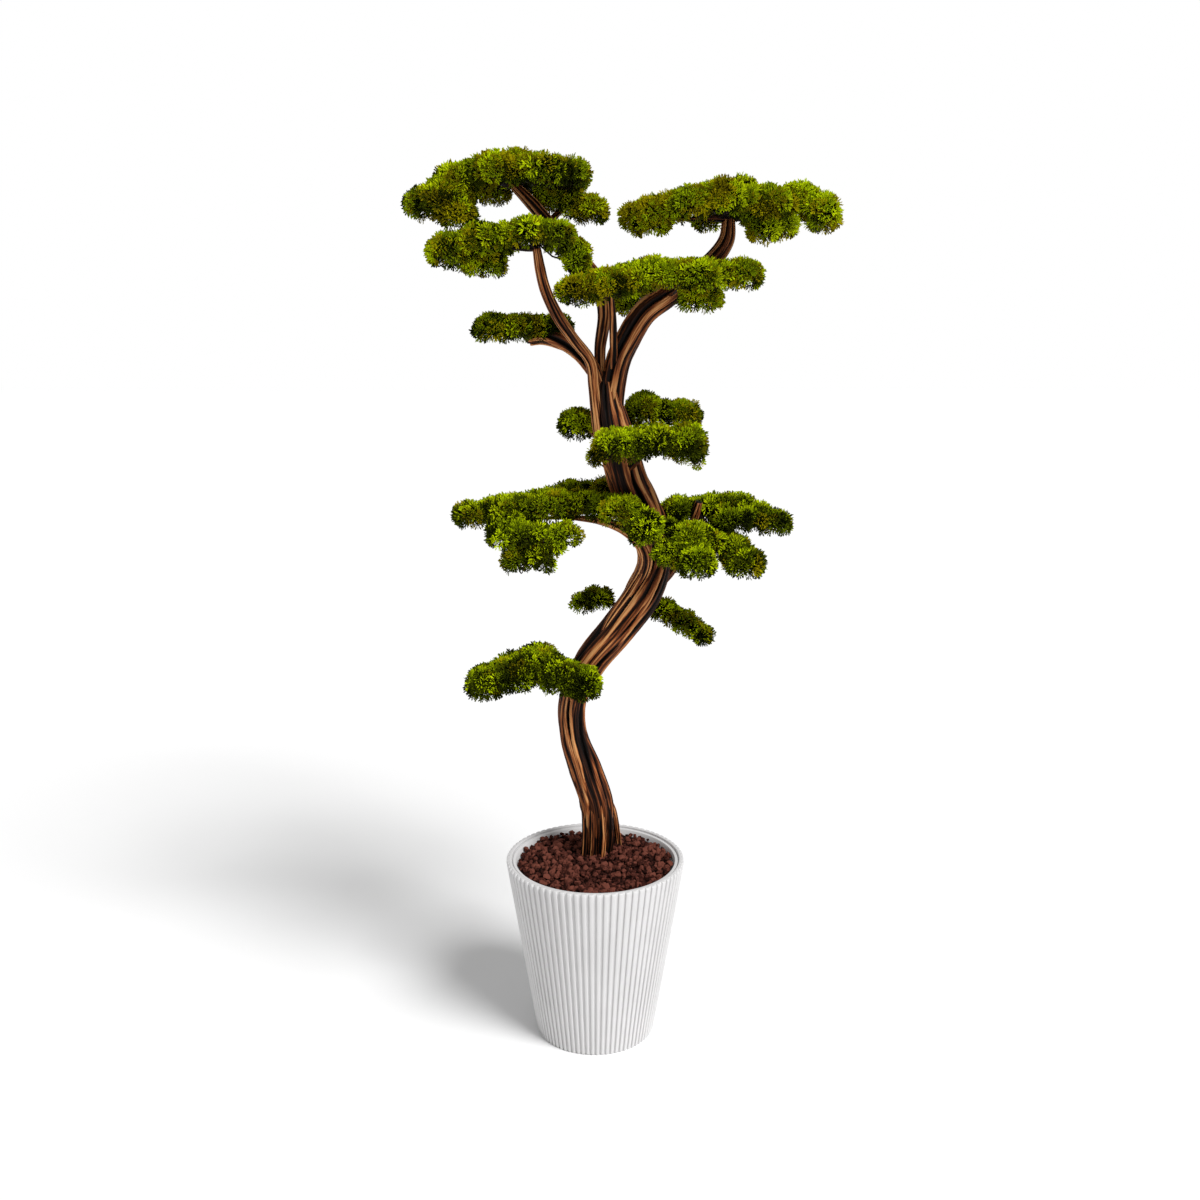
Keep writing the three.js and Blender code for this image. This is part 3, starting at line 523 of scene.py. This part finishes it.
def ribRowTree():
    tree, given = newTree("ribRow", {"Ribs": "Int"})
    places = addNode(tree, "GeometryNodePoints", {"Count": given["Ribs"]})
    number = addNode(tree, "GeometryNodeInputIndex")
    step = addNode(tree, "ShaderNodeMath", {0: math.tau, 1: given["Ribs"]}, operation="DIVIDE")
    angle = addNode(tree, "ShaderNodeMath", {0: number[0], 1: step[0]}, operation="MULTIPLY")
    turn = addNode(tree, "ShaderNodeCombineXYZ", {"Z": angle[0]})
    row = addNode(tree, "GeometryNodeInstanceOnPoints", {
        "Points": places[0], "Instance": given["Geometry"], "Rotation": turn[0]})
    addNode(tree, "NodeGroupOutput", {"Geometry": realized(tree, row[0], finishes["clay"])})
    return tree


wall = solidPiece("planterWall", [turnedWall()], finishes["clay"], crease=35)
settle(wall, "planter", "planter")
rib = solidPiece("ribPattern", [ribShape()], crease=50)
ribs = grownBy(ribRowTree(), rib, {"Ribs": planter["ribs"]}, "planterRibs")
settle(ribs, "planter")
print("planter done")


# Gravel: the mound under the stones
def moundShape():
    rings, spokes = 24, 64
    points = [[0, 0, gravel["top"]]]
    for ring in range(1, rings + 1):
        radius = gravel["radius"] * ring / rings
        share = min(1, max(0, (radius - gravel["moundRadius"]) / (gravel["radius"] - gravel["moundRadius"])))
        height = gravel["top"] + (gravel["edge"] - gravel["top"]) * share
        for spoke in range(spokes):
            angle = math.tau * spoke / spokes
            points.append([radius * math.cos(angle), radius * math.sin(angle), height])
    faces = [(0, 1 + i, 1 + (i + 1) % spokes) for i in range(spokes)]
    for ring in range(rings - 1):
        for i in range(spokes):
            a, b = 1 + ring * spokes + i, 1 + ring * spokes + (i + 1) % spokes
            faces.append((a, a + spokes, b + spokes, b))
    return points, faces


# A crushed stone: the hull of a few corners scattered over a stretched ball
def crushedStone(number):
    random = np.random.default_rng(seeds["gravel"] + number)
    corners = random.normal(size=(gravel["corners"], 3))
    lengths = np.linalg.norm(corners, axis=1)[:, None]
    corners *= random.uniform(*gravel["cornerReach"], (len(corners), 1)) / lengths
    work = bmesh.new()
    for corner in corners * random.uniform(*gravel["stretch"], 3) * gravel["stoneSize"] * mm:
        work.verts.new(corner)
    bmesh.ops.convex_hull(work, input=work.verts)
    for corner in [corner for corner in work.verts if not corner.link_faces]:
        work.verts.remove(corner)
    bmesh.ops.recalc_face_normals(work, faces=work.faces)
    mesh = bpy.data.meshes.new(f"stone{number}")
    work.to_mesh(mesh)
    work.free()
    return mesh


def patternCollection(name, meshes):
    patterns = bpy.data.collections.new(name)
    for number, mesh in enumerate(meshes):
        patterns.objects.link(bpy.data.objects.new(f"{name}{number:02d}", mesh))
    return patterns


def clearPatterns(patterns):
    for pattern in list(patterns.objects):
        bpy.data.objects.remove(pattern)
    bpy.data.collections.remove(patterns)


def scatterTree():
    tree, given = newTree("stoneScatter", {
        "Stones": "Collection", "Spacing": "Float", "Density": "Float", "Seed": "Int"})
    seed = given["Seed"]
    places = addNode(tree, "GeometryNodeDistributePointsOnFaces", {
        "Mesh": given["Geometry"], "Distance Min": given["Spacing"], "Density Max": given["Density"],
        "Seed": seed}, distribute_method="POISSON")
    turn = randomValue(tree, seed, (0, 0, 0), (gravel["maxTurn"],) * 3)
    size = randomValue(tree, seed, *gravel["sizes"])
    lift = randomValue(tree, seed, (0, 0, -gravel["sunk"] * mm), (0, 0, 0))
    raised = addNode(tree, "GeometryNodeSetPosition", {"Geometry": places["Points"], "Offset": lift})
    toned = addNode(tree, "GeometryNodeStoreNamedAttribute", {
        "Geometry": scattered(tree, raised[0], given["Stones"], turn, size), "Name": "tone",
        "Value": randomValue(tree, seed, 0, 1)}, data_type="FLOAT", domain="INSTANCE")
    addNode(tree, "NodeGroupOutput", {"Geometry": realized(tree, toned[0], finishes["rock"])})
    return tree


moundPoints, moundFaces = joined([moundShape()])
lowered = moundPoints - np.array([0, 0, gravel["sunk"] * mm])
bed = newObject("gravelBed", recalculated(meshFrom("gravelBed", lowered, moundFaces)), finishes["rock"])
settle(bed, "gravel", "gravel")
stoneKinds = patternCollection("stone", [crushedStone(i) for i in range(gravel["kinds"])])
mound = newObject("mound", meshFrom("mound", moundPoints, moundFaces))
stones = grownBy(scatterTree(), mound, {
    "Stones": stoneKinds, "Spacing": gravel["spacing"] * mm, "Density": gravel["density"],
    "Seed": seeds["gravel"]}, "gravelStones")
clearPatterns(stoneKinds)
settle(stones, "gravel")
print("gravel done:", len(stones.data.polygons), "faces")


# Limbs: the centripetal curve through a spine, as even steps with their radii and lengths
def limbPath(spine, step):
    spanSamples = 40
    points, radii = np.split(np.array(spine, float), [3], axis=1)
    padded = np.vstack([2 * points[0] - points[1], points, 2 * points[-1] - points[-2]])
    line, sizes = [], []
    for i in range(len(points) - 1):
        p0, p1, p2, p3 = padded[i:i + 4]
        d0, d1, d2 = (math.sqrt(np.linalg.norm(b - a)) for a, b in ((p0, p1), (p1, p2), (p2, p3)))
        start = ((p1 - p0) / d0 - (p2 - p0) / (d0 + d1) + (p2 - p1) / d1) * d1
        end = ((p2 - p1) / d1 - (p3 - p1) / (d1 + d2) + (p3 - p2) / d2) * d1
        square, cube = 3 * (p2 - p1) - 2 * start - end, 2 * (p1 - p2) + start + end
        w = np.linspace(0, 1, spanSamples, endpoint=False)[:, None]
        line.append(p1 + start * w + square * w ** 2 + cube * w ** 3)
        sizes.append(radii[i] + (radii[i + 1] - radii[i]) * w)
    line, sizes = np.vstack(line + [points[-1:]]), np.vstack(sizes + [radii[-1:]])
    lengths = np.concatenate([[0], np.cumsum(np.linalg.norm(np.diff(line, axis=0), axis=1))])
    even = np.linspace(0, lengths[-1], max(4, int(lengths[-1] / step)))
    path = np.stack([np.interp(even, lengths, line[:, k]) for k in range(3)], axis=1)
    return path, np.interp(even, lengths, sizes[:, 0]), even


def directionsAlong(path):
    along = np.gradient(path, axis=0)
    return along / np.linalg.norm(along, axis=1)[:, None]


# Frames carried along a path without a twist
def carriedFrames(path):
    along = directionsAlong(path)
    normal = np.cross(along[0], [0.0, 1.0, 0.0])
    normals = []
    for direction in along:
        normal = normal - direction * normal.dot(direction)
        normal /= np.linalg.norm(normal)
        normals.append(normal.copy())
    normals = np.array(normals)
    return normals, np.cross(along, normals)


# How strands lie in their bundle, in shares of the limb's radius, with lengths in mm. Broad and fine ones
# have a crest, its dive and how much lighter they are. Sways are in radians, and ridges run over all.
relief = {
    "widths": [0.6, 1.4], "overlap": 0.53, "broad": [0.985, 0.025, 0.0], "fine": [1.0, 0.06, 0.3],
    "fineSizes": [0.7, 1.3], "sways": [[0.14, 95], [0.06, 41]], "lighterSway": 3, "diveLength": 75,
    "tints": [0, 0.7], "ridges": [[17, 0.012], [29, 0.011], [47, 0.007]], "drift": 1.5,
    "driftLengths": [60, 140],
}


# The reach of a bundle of strands round a limb, with how light each place is. Broad strands lie side by side
# with deep grooves between them, and fine ones ride over them and dive under again.
def strandRelief(kind, angles, lengths, seed):
    random = np.random.default_rng(seed)
    length = lengths[-1]
    share = (lengths / length)[:, None]
    reach = np.full((len(share), len(angles)), kind["floor"])
    tint = np.zeros_like(reach)
    widths = random.uniform(*relief["widths"], kind["broad"])
    widths *= math.tau / widths.sum()
    middles = np.cumsum(widths) - widths / 2
    bundle = [(middle, math.sin(relief["overlap"] * width), *relief["broad"])
              for middle, width in zip(middles, widths)]
    for _ in range(kind["fine"]):
        middle, size = random.uniform(0, math.tau), random.uniform(*relief["fineSizes"])
        bundle.append((middle, kind["fineSize"] * size, *relief["fine"]))
    for middle, sine, crest, dive, lighter in bundle:
        *phases, lean = random.uniform(0, math.tau, 3)
        sway = sum(most * np.sin(share * length / span + phase)
                   for (most, span), phase in zip(relief["sways"], phases))
        centre = middle + kind["twist"] * share + sway * (1 + relief["lighterSway"] * lighter)
        top = crest + dive * np.sin(share * length / relief["diveLength"] + lean)
        thick = top * sine / (1 + sine)
        out = top - thick
        delta = angles - centre
        under = thick ** 2 - (out * np.sin(delta)) ** 2
        strand = out * np.cos(delta) + np.sqrt(np.maximum(under, 0))
        strand = np.where((under > 0) & (np.cos(delta) > 0), strand, 0)
        tint = np.where(strand > reach, random.uniform(*relief["tints"]) + lighter, tint)
        reach = np.maximum(reach, strand)
    turned = angles - kind["twist"] * share
    for ridges, depth in relief["ridges"]:
        start, span = random.uniform(0, math.tau), random.uniform(*relief["driftLengths"])
        drift = start + relief["drift"] * np.sin(share * length / span)
        reach = reach + depth * np.sin(ridges * turned + drift)
    return reach, tint


# One limb, closed by fans at its ends, which keeps its ridges, tint and grain for the bark
def strandedLimb(name, kind, spine, seed):
    path, radii, lengths = limbPath(spine, kind["ringStep"])
    normals, across = carriedFrames(path)
    rings, sides = len(path), kind["sides"]
    angles = np.arange(sides) * math.tau / sides
    reach, tint = strandRelief(kind, angles, lengths, seed)
    ring = normals[:, None] * np.cos(angles)[:, None] + across[:, None] * np.sin(angles)[:, None]
    points = path[:, None] + ring * (reach * radii[:, None])[:, :, None]
    points = np.vstack([points.reshape(-1, 3), path[:1], path[-1:]])
    foot, tip, last = rings * sides, rings * sides + 1, (rings - 1) * sides
    edges = [(i, (i + 1) % sides) for i in range(sides)]
    faces = tubeFaces(rings, sides, capped=False)
    faces += [(foot, b, a) for a, b in edges] + [(tip, last + a, last + b) for a, b in edges]
    mesh = meshFrom(name + "_bark", points * mm, faces)
    # How far out each place stands, for the bark's painted shade in the grooves and painted highlight on the
    # crests
    ridge = np.clip((reach - kind["floor"]) / (1 - kind["floor"]), 0, 1)
    for label, values in (("ridge", ridge), ("tint", tint + kind["paler"])):
        store(mesh, label, "FLOAT", np.append(values.ravel(), [0, 0]))
    corners = np.zeros(len(mesh.loops), int)
    mesh.loops.foreach_get("vertex_index", corners)
    girth = radii.mean() * mm
    u = np.append(np.tile(angles * girth, rings), [0, 0])
    v = np.append(np.repeat(lengths * mm, sides), [0, lengths[-1] * mm])
    grain = np.stack([u[corners], v[corners]], axis=1)
    quads = grain[:(rings - 1) * sides * 4].reshape(-1, 4, 2)[:, :, 0]
    seam = np.ptp(quads, axis=1) > girth * math.pi
    quads[seam] = np.where(quads[seam] < girth, quads[seam] + girth * math.tau, quads[seam])
    mesh.uv_layers.new(name="grain").data.foreach_set("uv", grain.ravel())
    return newObject(name + "_bark", mesh, finishes["bark"])


for number, (name, kind, spine) in enumerate(limbs):
    settle(strandedLimb(name, kind, spine, seeds["limbs"] + number), "bark", name)
for number, spine in enumerate(looseStrands):
    settle(strandedLimb(f"strand{number}", looseKind, spine, seeds["strands"] + number), "bark")
lineStep = 12
limbLines = {name: limbPath(spine, lineStep)[:2] for name, _, spine in limbs}
allLines = [*limbLines.values(), *[limbPath(spine, lineStep)[:2] for spine in looseStrands]]
limbPoints = np.vstack([path for path, _ in allLines])
limbRadii = np.concatenate([radii for _, radii in allLines])
print("limbs done")


# Foliage: lobes are as drawn times their fullness, with a heart below the middle. Two of a region that are
# near each other, as shares of touching, get one more between them. No spray ends inside another lobe's
# hidden share or near a limb.
growth = {
    "fullness": [1.1, 1.3, 1.1], "heartDrop": 0.3, "near": [0.3, 0.85], "filler": 0.93, "hidden": 0.8,
    "flatBelow": 0.72, "limbMargin": 9,
}


def lobeOf(mass, centre, reach):
    heart = centre - [0, 0, growth["heartDrop"] * reach[2]]
    return {"mass": mass, "centre": centre, "reach": reach, "heart": heart}


def nearness(first, second):
    between = second["centre"] - first["centre"]
    distance = np.linalg.norm(between)
    return distance / sum(1 / np.linalg.norm(between / distance / lobe["reach"]) for lobe in (first, second))


lobes = []
nearest, furthest = growth["near"]
for masses in regions.values():
    drawn = [lobeOf(name, np.array(row[:3], float), np.array(row[3:]) * growth["fullness"])
             for name, carrier, *rows in masses for row in rows]
    lobes += drawn
    for i, first in enumerate(drawn):
        for second in drawn[i + 1:]:
            if nearest < nearness(first, second) < furthest:
                lobes.append(lobeOf(first["mass"], (first["centre"] + second["centre"]) / 2,
                                    np.minimum(first["reach"], second["reach"]) * growth["filler"]))
print("lobes:", len(lobes))


def isClear(points, margin):
    gaps = np.linalg.norm(points[:, None] - limbPoints[None], axis=2) - limbRadii[None]
    return gaps.min(axis=1) > margin


def isShown(points, lobe):
    shown = np.ones(len(points), bool)
    for other in lobes:
        if other is not lobe:
            scaled = (points - other["centre"]) / (other["reach"] * growth["hidden"])
            scaled[:, 2] /= np.where(scaled[:, 2] < 0, growth["flatBelow"], 1)
            shown &= (scaled ** 2).sum(axis=1) > 1
    return shown


# Two directions square to a given one and to each other, the first also square to a second one
def squareTo(direction, other):
    side = np.cross(direction, other)
    side /= np.linalg.norm(side)
    return side, np.cross(direction, side)


# Sprays stand on a lobe down to its lowest height, one to an area in mm2, spread in and out in shares of its
# reach at random and by waves. Each is a tuft of sprigs, in mm and radians: one straight, the rest round it.
spray = {
    "lowest": -0.6, "area": 400, "jitter": 0.6, "tipSpread": 0.08, "looseSpread": -3, "looseShare": 0.7,
    "lump": 0.08, "waves": 5, "steepness": 5, "length": 25, "sprigs": 6, "tilt": 0.95, "tilts": [0.65, 1.1],
    "spin": 1.6, "spins": [0, 0.5], "aside": 3.5, "depths": [0, 3],
}

# A sprig in mm and radians: a short stalk that forks into branches, each forking into fingers
sprig = {
    "kinds": 6, "size": 1.0, "sizes": [0.8, 1.1], "fork": 5, "stalkWidth": 1.8, "branches": 3,
    "turns": [-0.4, 0.4], "leans": [0.35, 0.8], "branchLengths": [4, 5.5], "branchWidth": 2.2,
    "overlap": 1.5, "bends": [-0.85, -0.1, 0.7], "lifts": [-0.3, 0.5], "fingerLengths": [7, 11],
    "fingerWidth": 2.9, "shoulder": 0.78, "fold": 0.45,
}

# The dark inside of a lobe, which stands in for its shade: a ball with waves, as a share of the lobe's
# reach, higher above than below
inside = {"share": 0.68, "looseShare": 0.42, "detail": 4, "waves": 6, "steepness": 2.6, "lump": 0.13,
          "top": 0.92, "bottom": 0.6}

# Stems and wires in mm. A stem takes shares of its limb's radius. A wire passes shares of its lobe's reach
# as it sags below the lobe and rises to its rim. Loose and low sprays show more of their twigs.
wood = {
    "trunkRadius": 7, "stemRoot": 0.9, "stemMiddle": 0.2, "stemTip": 2, "stemSag": 3,
    "linkRadii": [2.2, 1.6], "wires": 4, "turns": [0, 1], "sag": 0.72,
    "shares": [[0.22, 0.22, -0.8], [0.42, 0.42, -1], [0.6, 0.6, -0.85], [0.75, 0.75, -0.3]],
    "radii": [1.6, 0.9], "sides": 3, "bend": 0.08, "jitter": 1.5, "low": 0.1, "lowTwigs": 0.6,
    "otherTwigs": 0.12, "twigStarts": [0.1, 0.5],
}


# Even directions over a lobe, from its top to well below its middle, on a golden-angle spiral
def sprayDirections(lobe, random):
    samples = 200
    a, b, c = lobe["reach"]
    heights = np.linspace(1, spray["lowest"], samples)
    weight = np.sqrt((a * b * heights) ** 2 + ((a + b) / 2 * c) ** 2 * (1 - heights ** 2))
    total = np.concatenate([[0], np.cumsum((weight[1:] + weight[:-1]) / 2)]) * abs(heights[1] - heights[0])
    count = int(total[-1] * math.tau / spray["area"])
    z = np.interp((np.arange(count) + 0.5) / count * total[-1], total, heights)
    angle = np.arange(count) * goldenAngle + random.uniform(0, spray["jitter"], count)
    flat = np.sqrt(1 - z ** 2)
    return np.stack([flat * np.cos(angle), flat * np.sin(angle), z], axis=1)


# Turns that carry +Z onto each direction, with a random spin
def towards(directions, random):
    turns = []
    for direction, aside in zip(directions, random.normal(size=(len(directions), 3))):
        turn = Matrix((*squareTo(direction, aside), direction)).transposed()
        turns.append(tuple(turn.to_euler()))
    return np.array(turns)


# A finger of a sprig: a narrow leaf of two faces, folded along its middle and widest towards its tip
def fingerShape(root, tip, width):
    along = tip - root
    side, over = squareTo(along, [0.3, 0.9, 0.2])
    fold = over / np.linalg.norm(along) * width * sprig["fold"]
    shoulder = root + along * sprig["shoulder"] - fold
    return [root, shoulder + side * width / 2, tip, shoulder - side * width / 2], [(0, 2, 1), (0, 3, 2)]


# One kind of sprig. Its faces know stalk from finger.
def sprigMesh(number):
    random = np.random.default_rng(seeds["sprigs"] + number)
    fork = np.array([0, 0, sprig["fork"]], float)
    stalks, fingers = [fingerShape(np.zeros(3), fork, sprig["stalkWidth"])], []
    for i in range(sprig["branches"]):
        angle = i * math.tau / sprig["branches"] + random.uniform(*sprig["turns"])
        lean = random.uniform(*sprig["leans"])
        flat = math.sin(lean)
        branch = np.array([math.cos(angle) * flat, math.sin(angle) * flat, math.cos(lean)])
        elbow = fork + branch * random.uniform(*sprig["branchLengths"])
        stalks.append(fingerShape(fork - [0, 0, sprig["overlap"]], elbow, sprig["branchWidth"]))
        for bend in sprig["bends"]:
            sideways = np.array([-math.sin(angle), math.cos(angle), random.uniform(*sprig["lifts"])])
            finger = branch + sideways * bend
            finger /= np.linalg.norm(finger)
            tip = elbow + finger * random.uniform(*sprig["fingerLengths"])
            fingers.append(fingerShape(elbow - branch, tip, sprig["fingerWidth"]))
    mesh = meshFrom(f"sprig{number}", *joined(stalks + fingers), smooth=False)
    facesEach = 2
    isFinger = [i >= facesEach * len(stalks) for i in range(len(mesh.polygons))]
    store(mesh, "finger", "BOOLEAN", isFinger, domain="FACE")
    return mesh


def sprigTree():
    tree, given = newTree("sprigSprays", {"Sprigs": "Collection", "Sprig size": "Float", "Seed": "Int"})
    turn, shade, finger = (
        addNode(tree, "GeometryNodeInputNamedAttribute", {"Name": name}, data_type=kind)[0]
        for name, kind in (("turn", "FLOAT_VECTOR"), ("shade", "INT"), ("finger", "BOOLEAN")))
    places = addNode(tree, "GeometryNodeMeshToPoints", {"Mesh": given["Geometry"]})
    size = addNode(tree, "ShaderNodeMath", {
        0: randomValue(tree, given["Seed"], *sprig["sizes"]), 1: given["Sprig size"]}, operation="MULTIPLY")
    sprigs = scattered(tree, places[0], given["Sprigs"], turn, size[0])
    # Stalks take the near-black green of painted shade, and fingers then take their spray's green
    shape = realized(tree, sprigs, finishes["stalk"])
    for number in range(len(greens)):
        isDealt = addNode(tree, "FunctionNodeCompare", {2: shade, 3: number}, data_type="INT",
                          operation="EQUAL")[0]
        chosen = addNode(tree, "FunctionNodeBooleanMath", {0: isDealt, 1: finger})[0]
        shape = painted(tree, shape, finishes[number], chosen)
    addNode(tree, "NodeGroupOutput", {"Geometry": shape})
    return tree


# A wire through some points, which tapers evenly from one radius to another
def twigShape(points, radii):
    sides = wood["sides"]
    points = np.array(points, float)
    shape = []
    for point, direction, radius in zip(points, directionsAlong(points), np.linspace(*radii, len(points))):
        side, over = squareTo(direction, [0.2, 0.3, 0.9])
        for j in range(sides):
            angle = j * math.tau / sides
            shape.append(point + (side * math.cos(angle) + over * math.sin(angle)) * radius)
    return shape, tubeFaces(len(points), sides)


# A bent twig between two places, with a droop or rise in the middle
def bentTwig(start, end, radii, random):
    middle = (start + end) / 2 + random.normal(size=3) * np.linalg.norm(end - start) * wood["bend"]
    before = (start + middle) / 2 + random.normal(size=3) * wood["jitter"]
    return twigShape([start, before, middle, (middle + end) / 2, end], radii)


# Wires from the heart of a lobe to its rim
def rimWires(lobe, random):
    shapes = []
    for number in range(wood["wires"]):
        angle = number * math.tau / wood["wires"] + random.uniform(*wood["turns"])
        around = np.array([math.cos(angle), math.sin(angle), wood["sag"]])
        curve = [lobe["centre"] + lobe["reach"] * around * share for share in wood["shares"]]
        shapes.append(twigShape([lobe["heart"]] + curve, wood["radii"]))
    return shapes


# The mean of waves that run along some axes, with random phases
def wavesOver(points, axes, steepness, random):
    phases = random.uniform(0, math.tau, axes.shape[1])
    return np.sin(points @ axes * steepness + phases).mean(axis=1)


def insideShape(lobe, share, random):
    work = bmesh.new()
    bmesh.ops.create_icosphere(work, subdivisions=inside["detail"], radius=1)
    points = np.array([v.co for v in work.verts])
    faces = [tuple(v.index for v in f.verts) for f in work.faces]
    work.free()
    waves = wavesOver(points, random.normal(size=(inside["waves"], 3)).T, inside["steepness"], random)
    points = points * (1 + inside["lump"] * waves)[:, None]
    points[:, 2] *= np.where(points[:, 2] > 0, inside["top"], inside["bottom"])
    return points * lobe["reach"] * share + lobe["centre"], faces


# Where the sprays of a lobe end, and which way they point from its centre
def sprayTips(lobe, loose, random):
    directions = sprayDirections(lobe, random)
    waves = wavesOver(directions, random.normal(size=(3, spray["waves"])), spray["steepness"], random)
    deepest = spray["looseSpread"] if loose else 0
    spread = 1 + spray["tipSpread"] * random.uniform(deepest, 1, len(directions))
    spread += spray["lump"] * waves
    tips = directions * lobe["reach"] * spread[:, None]
    tips[:, 2] *= np.where(tips[:, 2] < 0, growth["flatBelow"], 1)
    tips += lobe["centre"]
    keep = isClear(tips, growth["limbMargin"]) & isShown(tips, lobe)
    if loose:
        keep &= random.uniform(0, 1, len(tips)) < spray["looseShare"]
    return tips[keep], directions[keep]


# The number of a spray's green: painted light on sprays that point up and painted shade on those that point
# down
def sprayShade(direction, ownTone, tone, random):
    # lighter is the region's painted light or painted shade; olive is its share of olive sprays
    lighter, olive = tone
    paintedBrightness = paintedLight["middle"] + paintedLight["rise"] * direction[2] + ownTone
    paintedBrightness = np.clip(paintedBrightness + random.uniform(-paintedLight["spraySpread"], paintedLight["spraySpread"]), 0, 1)
    paintedBrightness = np.clip(paintedBrightness + lighter, 0, 1)
    chances = paintedBrightness * np.array(paintedLitChances) + (1 - paintedBrightness) * np.array(paintedShadeChances)
    chances[oliveGreens] *= olive
    return random.choice(len(greens), p=chances / chances.sum())


# The stem of a mass, from its limb's end or a height on the trunk to the heart of its first lobe
def settleStem(name, carrier, own):
    if isinstance(carrier, str):
        path, radii = limbLines[carrier]
        start, radius = path[-1], radii[-1]
    else:
        path = limbLines["trunk"][0]
        start, radius = path[np.argmin(abs(path[:, 2] - carrier))], wood["trunkRadius"]
    heart, tip = own[0]["heart"], wood["stemTip"]
    middle = (start + heart) / 2 - [0, 0, wood["stemSag"]]
    spine = [
        [*start, radius * wood["stemRoot"]], [*middle, tip + radius * wood["stemMiddle"]], [*heart, tip]]
    settle(strandedLimb(name + "Stem", stemKind, spine, len(own)), "bark")


def massFoliage(name, carrier, tone, random):
    own = [lobe for lobe in lobes if lobe["mass"] == name]
    settleStem(name, carrier, own)
    loose = name in looseMasses
    insides, twigs, sprays = [], [], []
    for lobe in own:
        insides.append(insideShape(lobe, inside["looseShare" if loose else "share"], random))
        if lobe is not own[0]:
            twigs.append(bentTwig(own[0]["heart"], lobe["heart"], wood["linkRadii"], random))
        tips, directions = sprayTips(lobe, loose, random)
        twigs += rimWires(lobe, random)
        ownTone = random.uniform(-paintedLight["lobeSpread"], paintedLight["lobeSpread"])
        for tip, direction in zip(tips, directions):
            out = (tip - lobe["heart"]) / np.linalg.norm(tip - lobe["heart"])
            root = tip - out * spray["length"]
            sprays.append((root, out, sprayShade(direction, ownTone, tone, random)))
            isLow = loose or direction[2] < wood["low"]
            if random.uniform() < wood["lowTwigs" if isLow else "otherTwigs"]:
                start = lobe["heart"] + (root - lobe["heart"]) * random.uniform(*wood["twigStarts"])
                twigs.append(bentTwig(start, root, wood["radii"], random))
    return insides, twigs, sprays


def sprigPoints(sprays, random):
    places, outs, shades = [], [], []
    for root, out, shade in sprays:
        side, over = squareTo(out, random.normal(size=3))
        for k in range(spray["sprigs"]):
            tilt = 0 if k == 0 else spray["tilt"] * random.uniform(*spray["tilts"])
            angle = k * goldenAngle * spray["spin"] + random.uniform(*spray["spins"])
            lean = side * math.cos(angle) + over * math.sin(angle)
            aside = lean * spray["aside"] * (k > 0)
            places.append(root + aside - out * random.uniform(*spray["depths"]))
            outs.append(out * math.cos(tilt) + lean * math.sin(tilt))
            shades.append(shade)
    return np.array(places), np.array(outs), np.array(shades)


sprigKinds = patternCollection("sprig", [sprigMesh(i) for i in range(sprig["kinds"])])
sprayTree = sprigTree()
total = 0
for region, masses in regions.items():
    shapes = [[], [], []]
    for name, carrier, *_ in masses:
        for own, grown in zip(shapes, massFoliage(name, carrier, paintedLightAndOlive.get(name, paintedLightAndOlive[region]), rng)):
            own.extend(grown)
    insides, twigs, sprays = shapes
    # Each region's insides: one dark piece of painted shade
    dark = solidPiece(region + "Inside", insides, finishes["inside"])
    settle(dark, "foliage", *[mass[0] for mass in masses])
    settle(solidPiece(region + "Twigs", twigs, finishes["wire"]), "bark")
    places, outs, shades = sprigPoints(sprays, rng)
    holder = newObject(region + "Places", meshFrom(region + "Places", places * mm, []))
    store(holder.data, "turn", "FLOAT_VECTOR", towards(outs, rng).ravel(), field="vector")
    store(holder.data, "shade", "INT", shades.astype(np.int32))
    leaves = grownBy(sprayTree, holder, {
        "Sprigs": sprigKinds, "Sprig size": sprig["size"], "Seed": seeds["sprays"]}, region + "Sprigs")
    settle(leaves, "foliage")
    total += len(leaves.data.polygons)
    print(region, "done:", len(places), "sprigs,", len(leaves.data.polygons), "leaf faces")
clearPatterns(sprigKinds)
print("foliage done:", total, "leaf faces")

# Stage: a pale floor, soft studio lights and the camera, in metres and degrees. The world looks white to
# the camera and lights the object at under half that strength.
stage = {
    "floorReach": 30, "sunStrength": 3, "sunSize": 26, "sunPath": (-0.5, 0.5, -0.75), "worldStrength": 0.4,
    "lens": 37.17, "cameraPlace": (0.0094, -2.3, 1.379), "cameraDrop": 12.1,
}
corners = [(x * stage["floorReach"], y * stage["floorReach"], 0)
           for x, y in ((-1, -1), (1, -1), (1, 1), (-1, 1))]
plainFinish("floor", "paleStudioFloor", 0.8, 0.5, "fbfbfb")
floor = newObject("floor", meshFrom("floor", corners, [(0, 1, 2, 3)]), finishes["floor"])

lamp = bpy.data.lights.new("softSun", "SUN")
lamp.energy = stage["sunStrength"]
lamp.angle = math.radians(stage["sunSize"])
sun = newObject("softSun", lamp)
sun.rotation_euler = Vector(stage["sunPath"]).to_track_quat("-Z", "Y").to_euler()

world = bpy.data.worlds.new("softStudio")
world.use_nodes = True
backdrop = world.node_tree.nodes["Background"]
seen = addNode(world.node_tree, "ShaderNodeLightPath")["Is Camera Ray"]
strength = addNode(world.node_tree, "ShaderNodeMapRange", {
    "Value": seen, "To Min": stage["worldStrength"], "To Max": 1.0})
world.node_tree.links.new(strength[0], backdrop.inputs["Strength"])
backdrop.inputs["Color"].default_value = linear("ffffff")
bpy.context.scene.world = world
bpy.context.scene.view_settings.view_transform = "Standard"

cameraData = bpy.data.cameras.new("camera")
cameraData.lens = stage["lens"]
camera = newObject("camera", cameraData)
camera.location = stage["cameraPlace"]
camera.rotation_euler = (math.radians(90 - stage["cameraDrop"]), 0, 0)
bpy.context.scene.camera = camera

print("scene done")
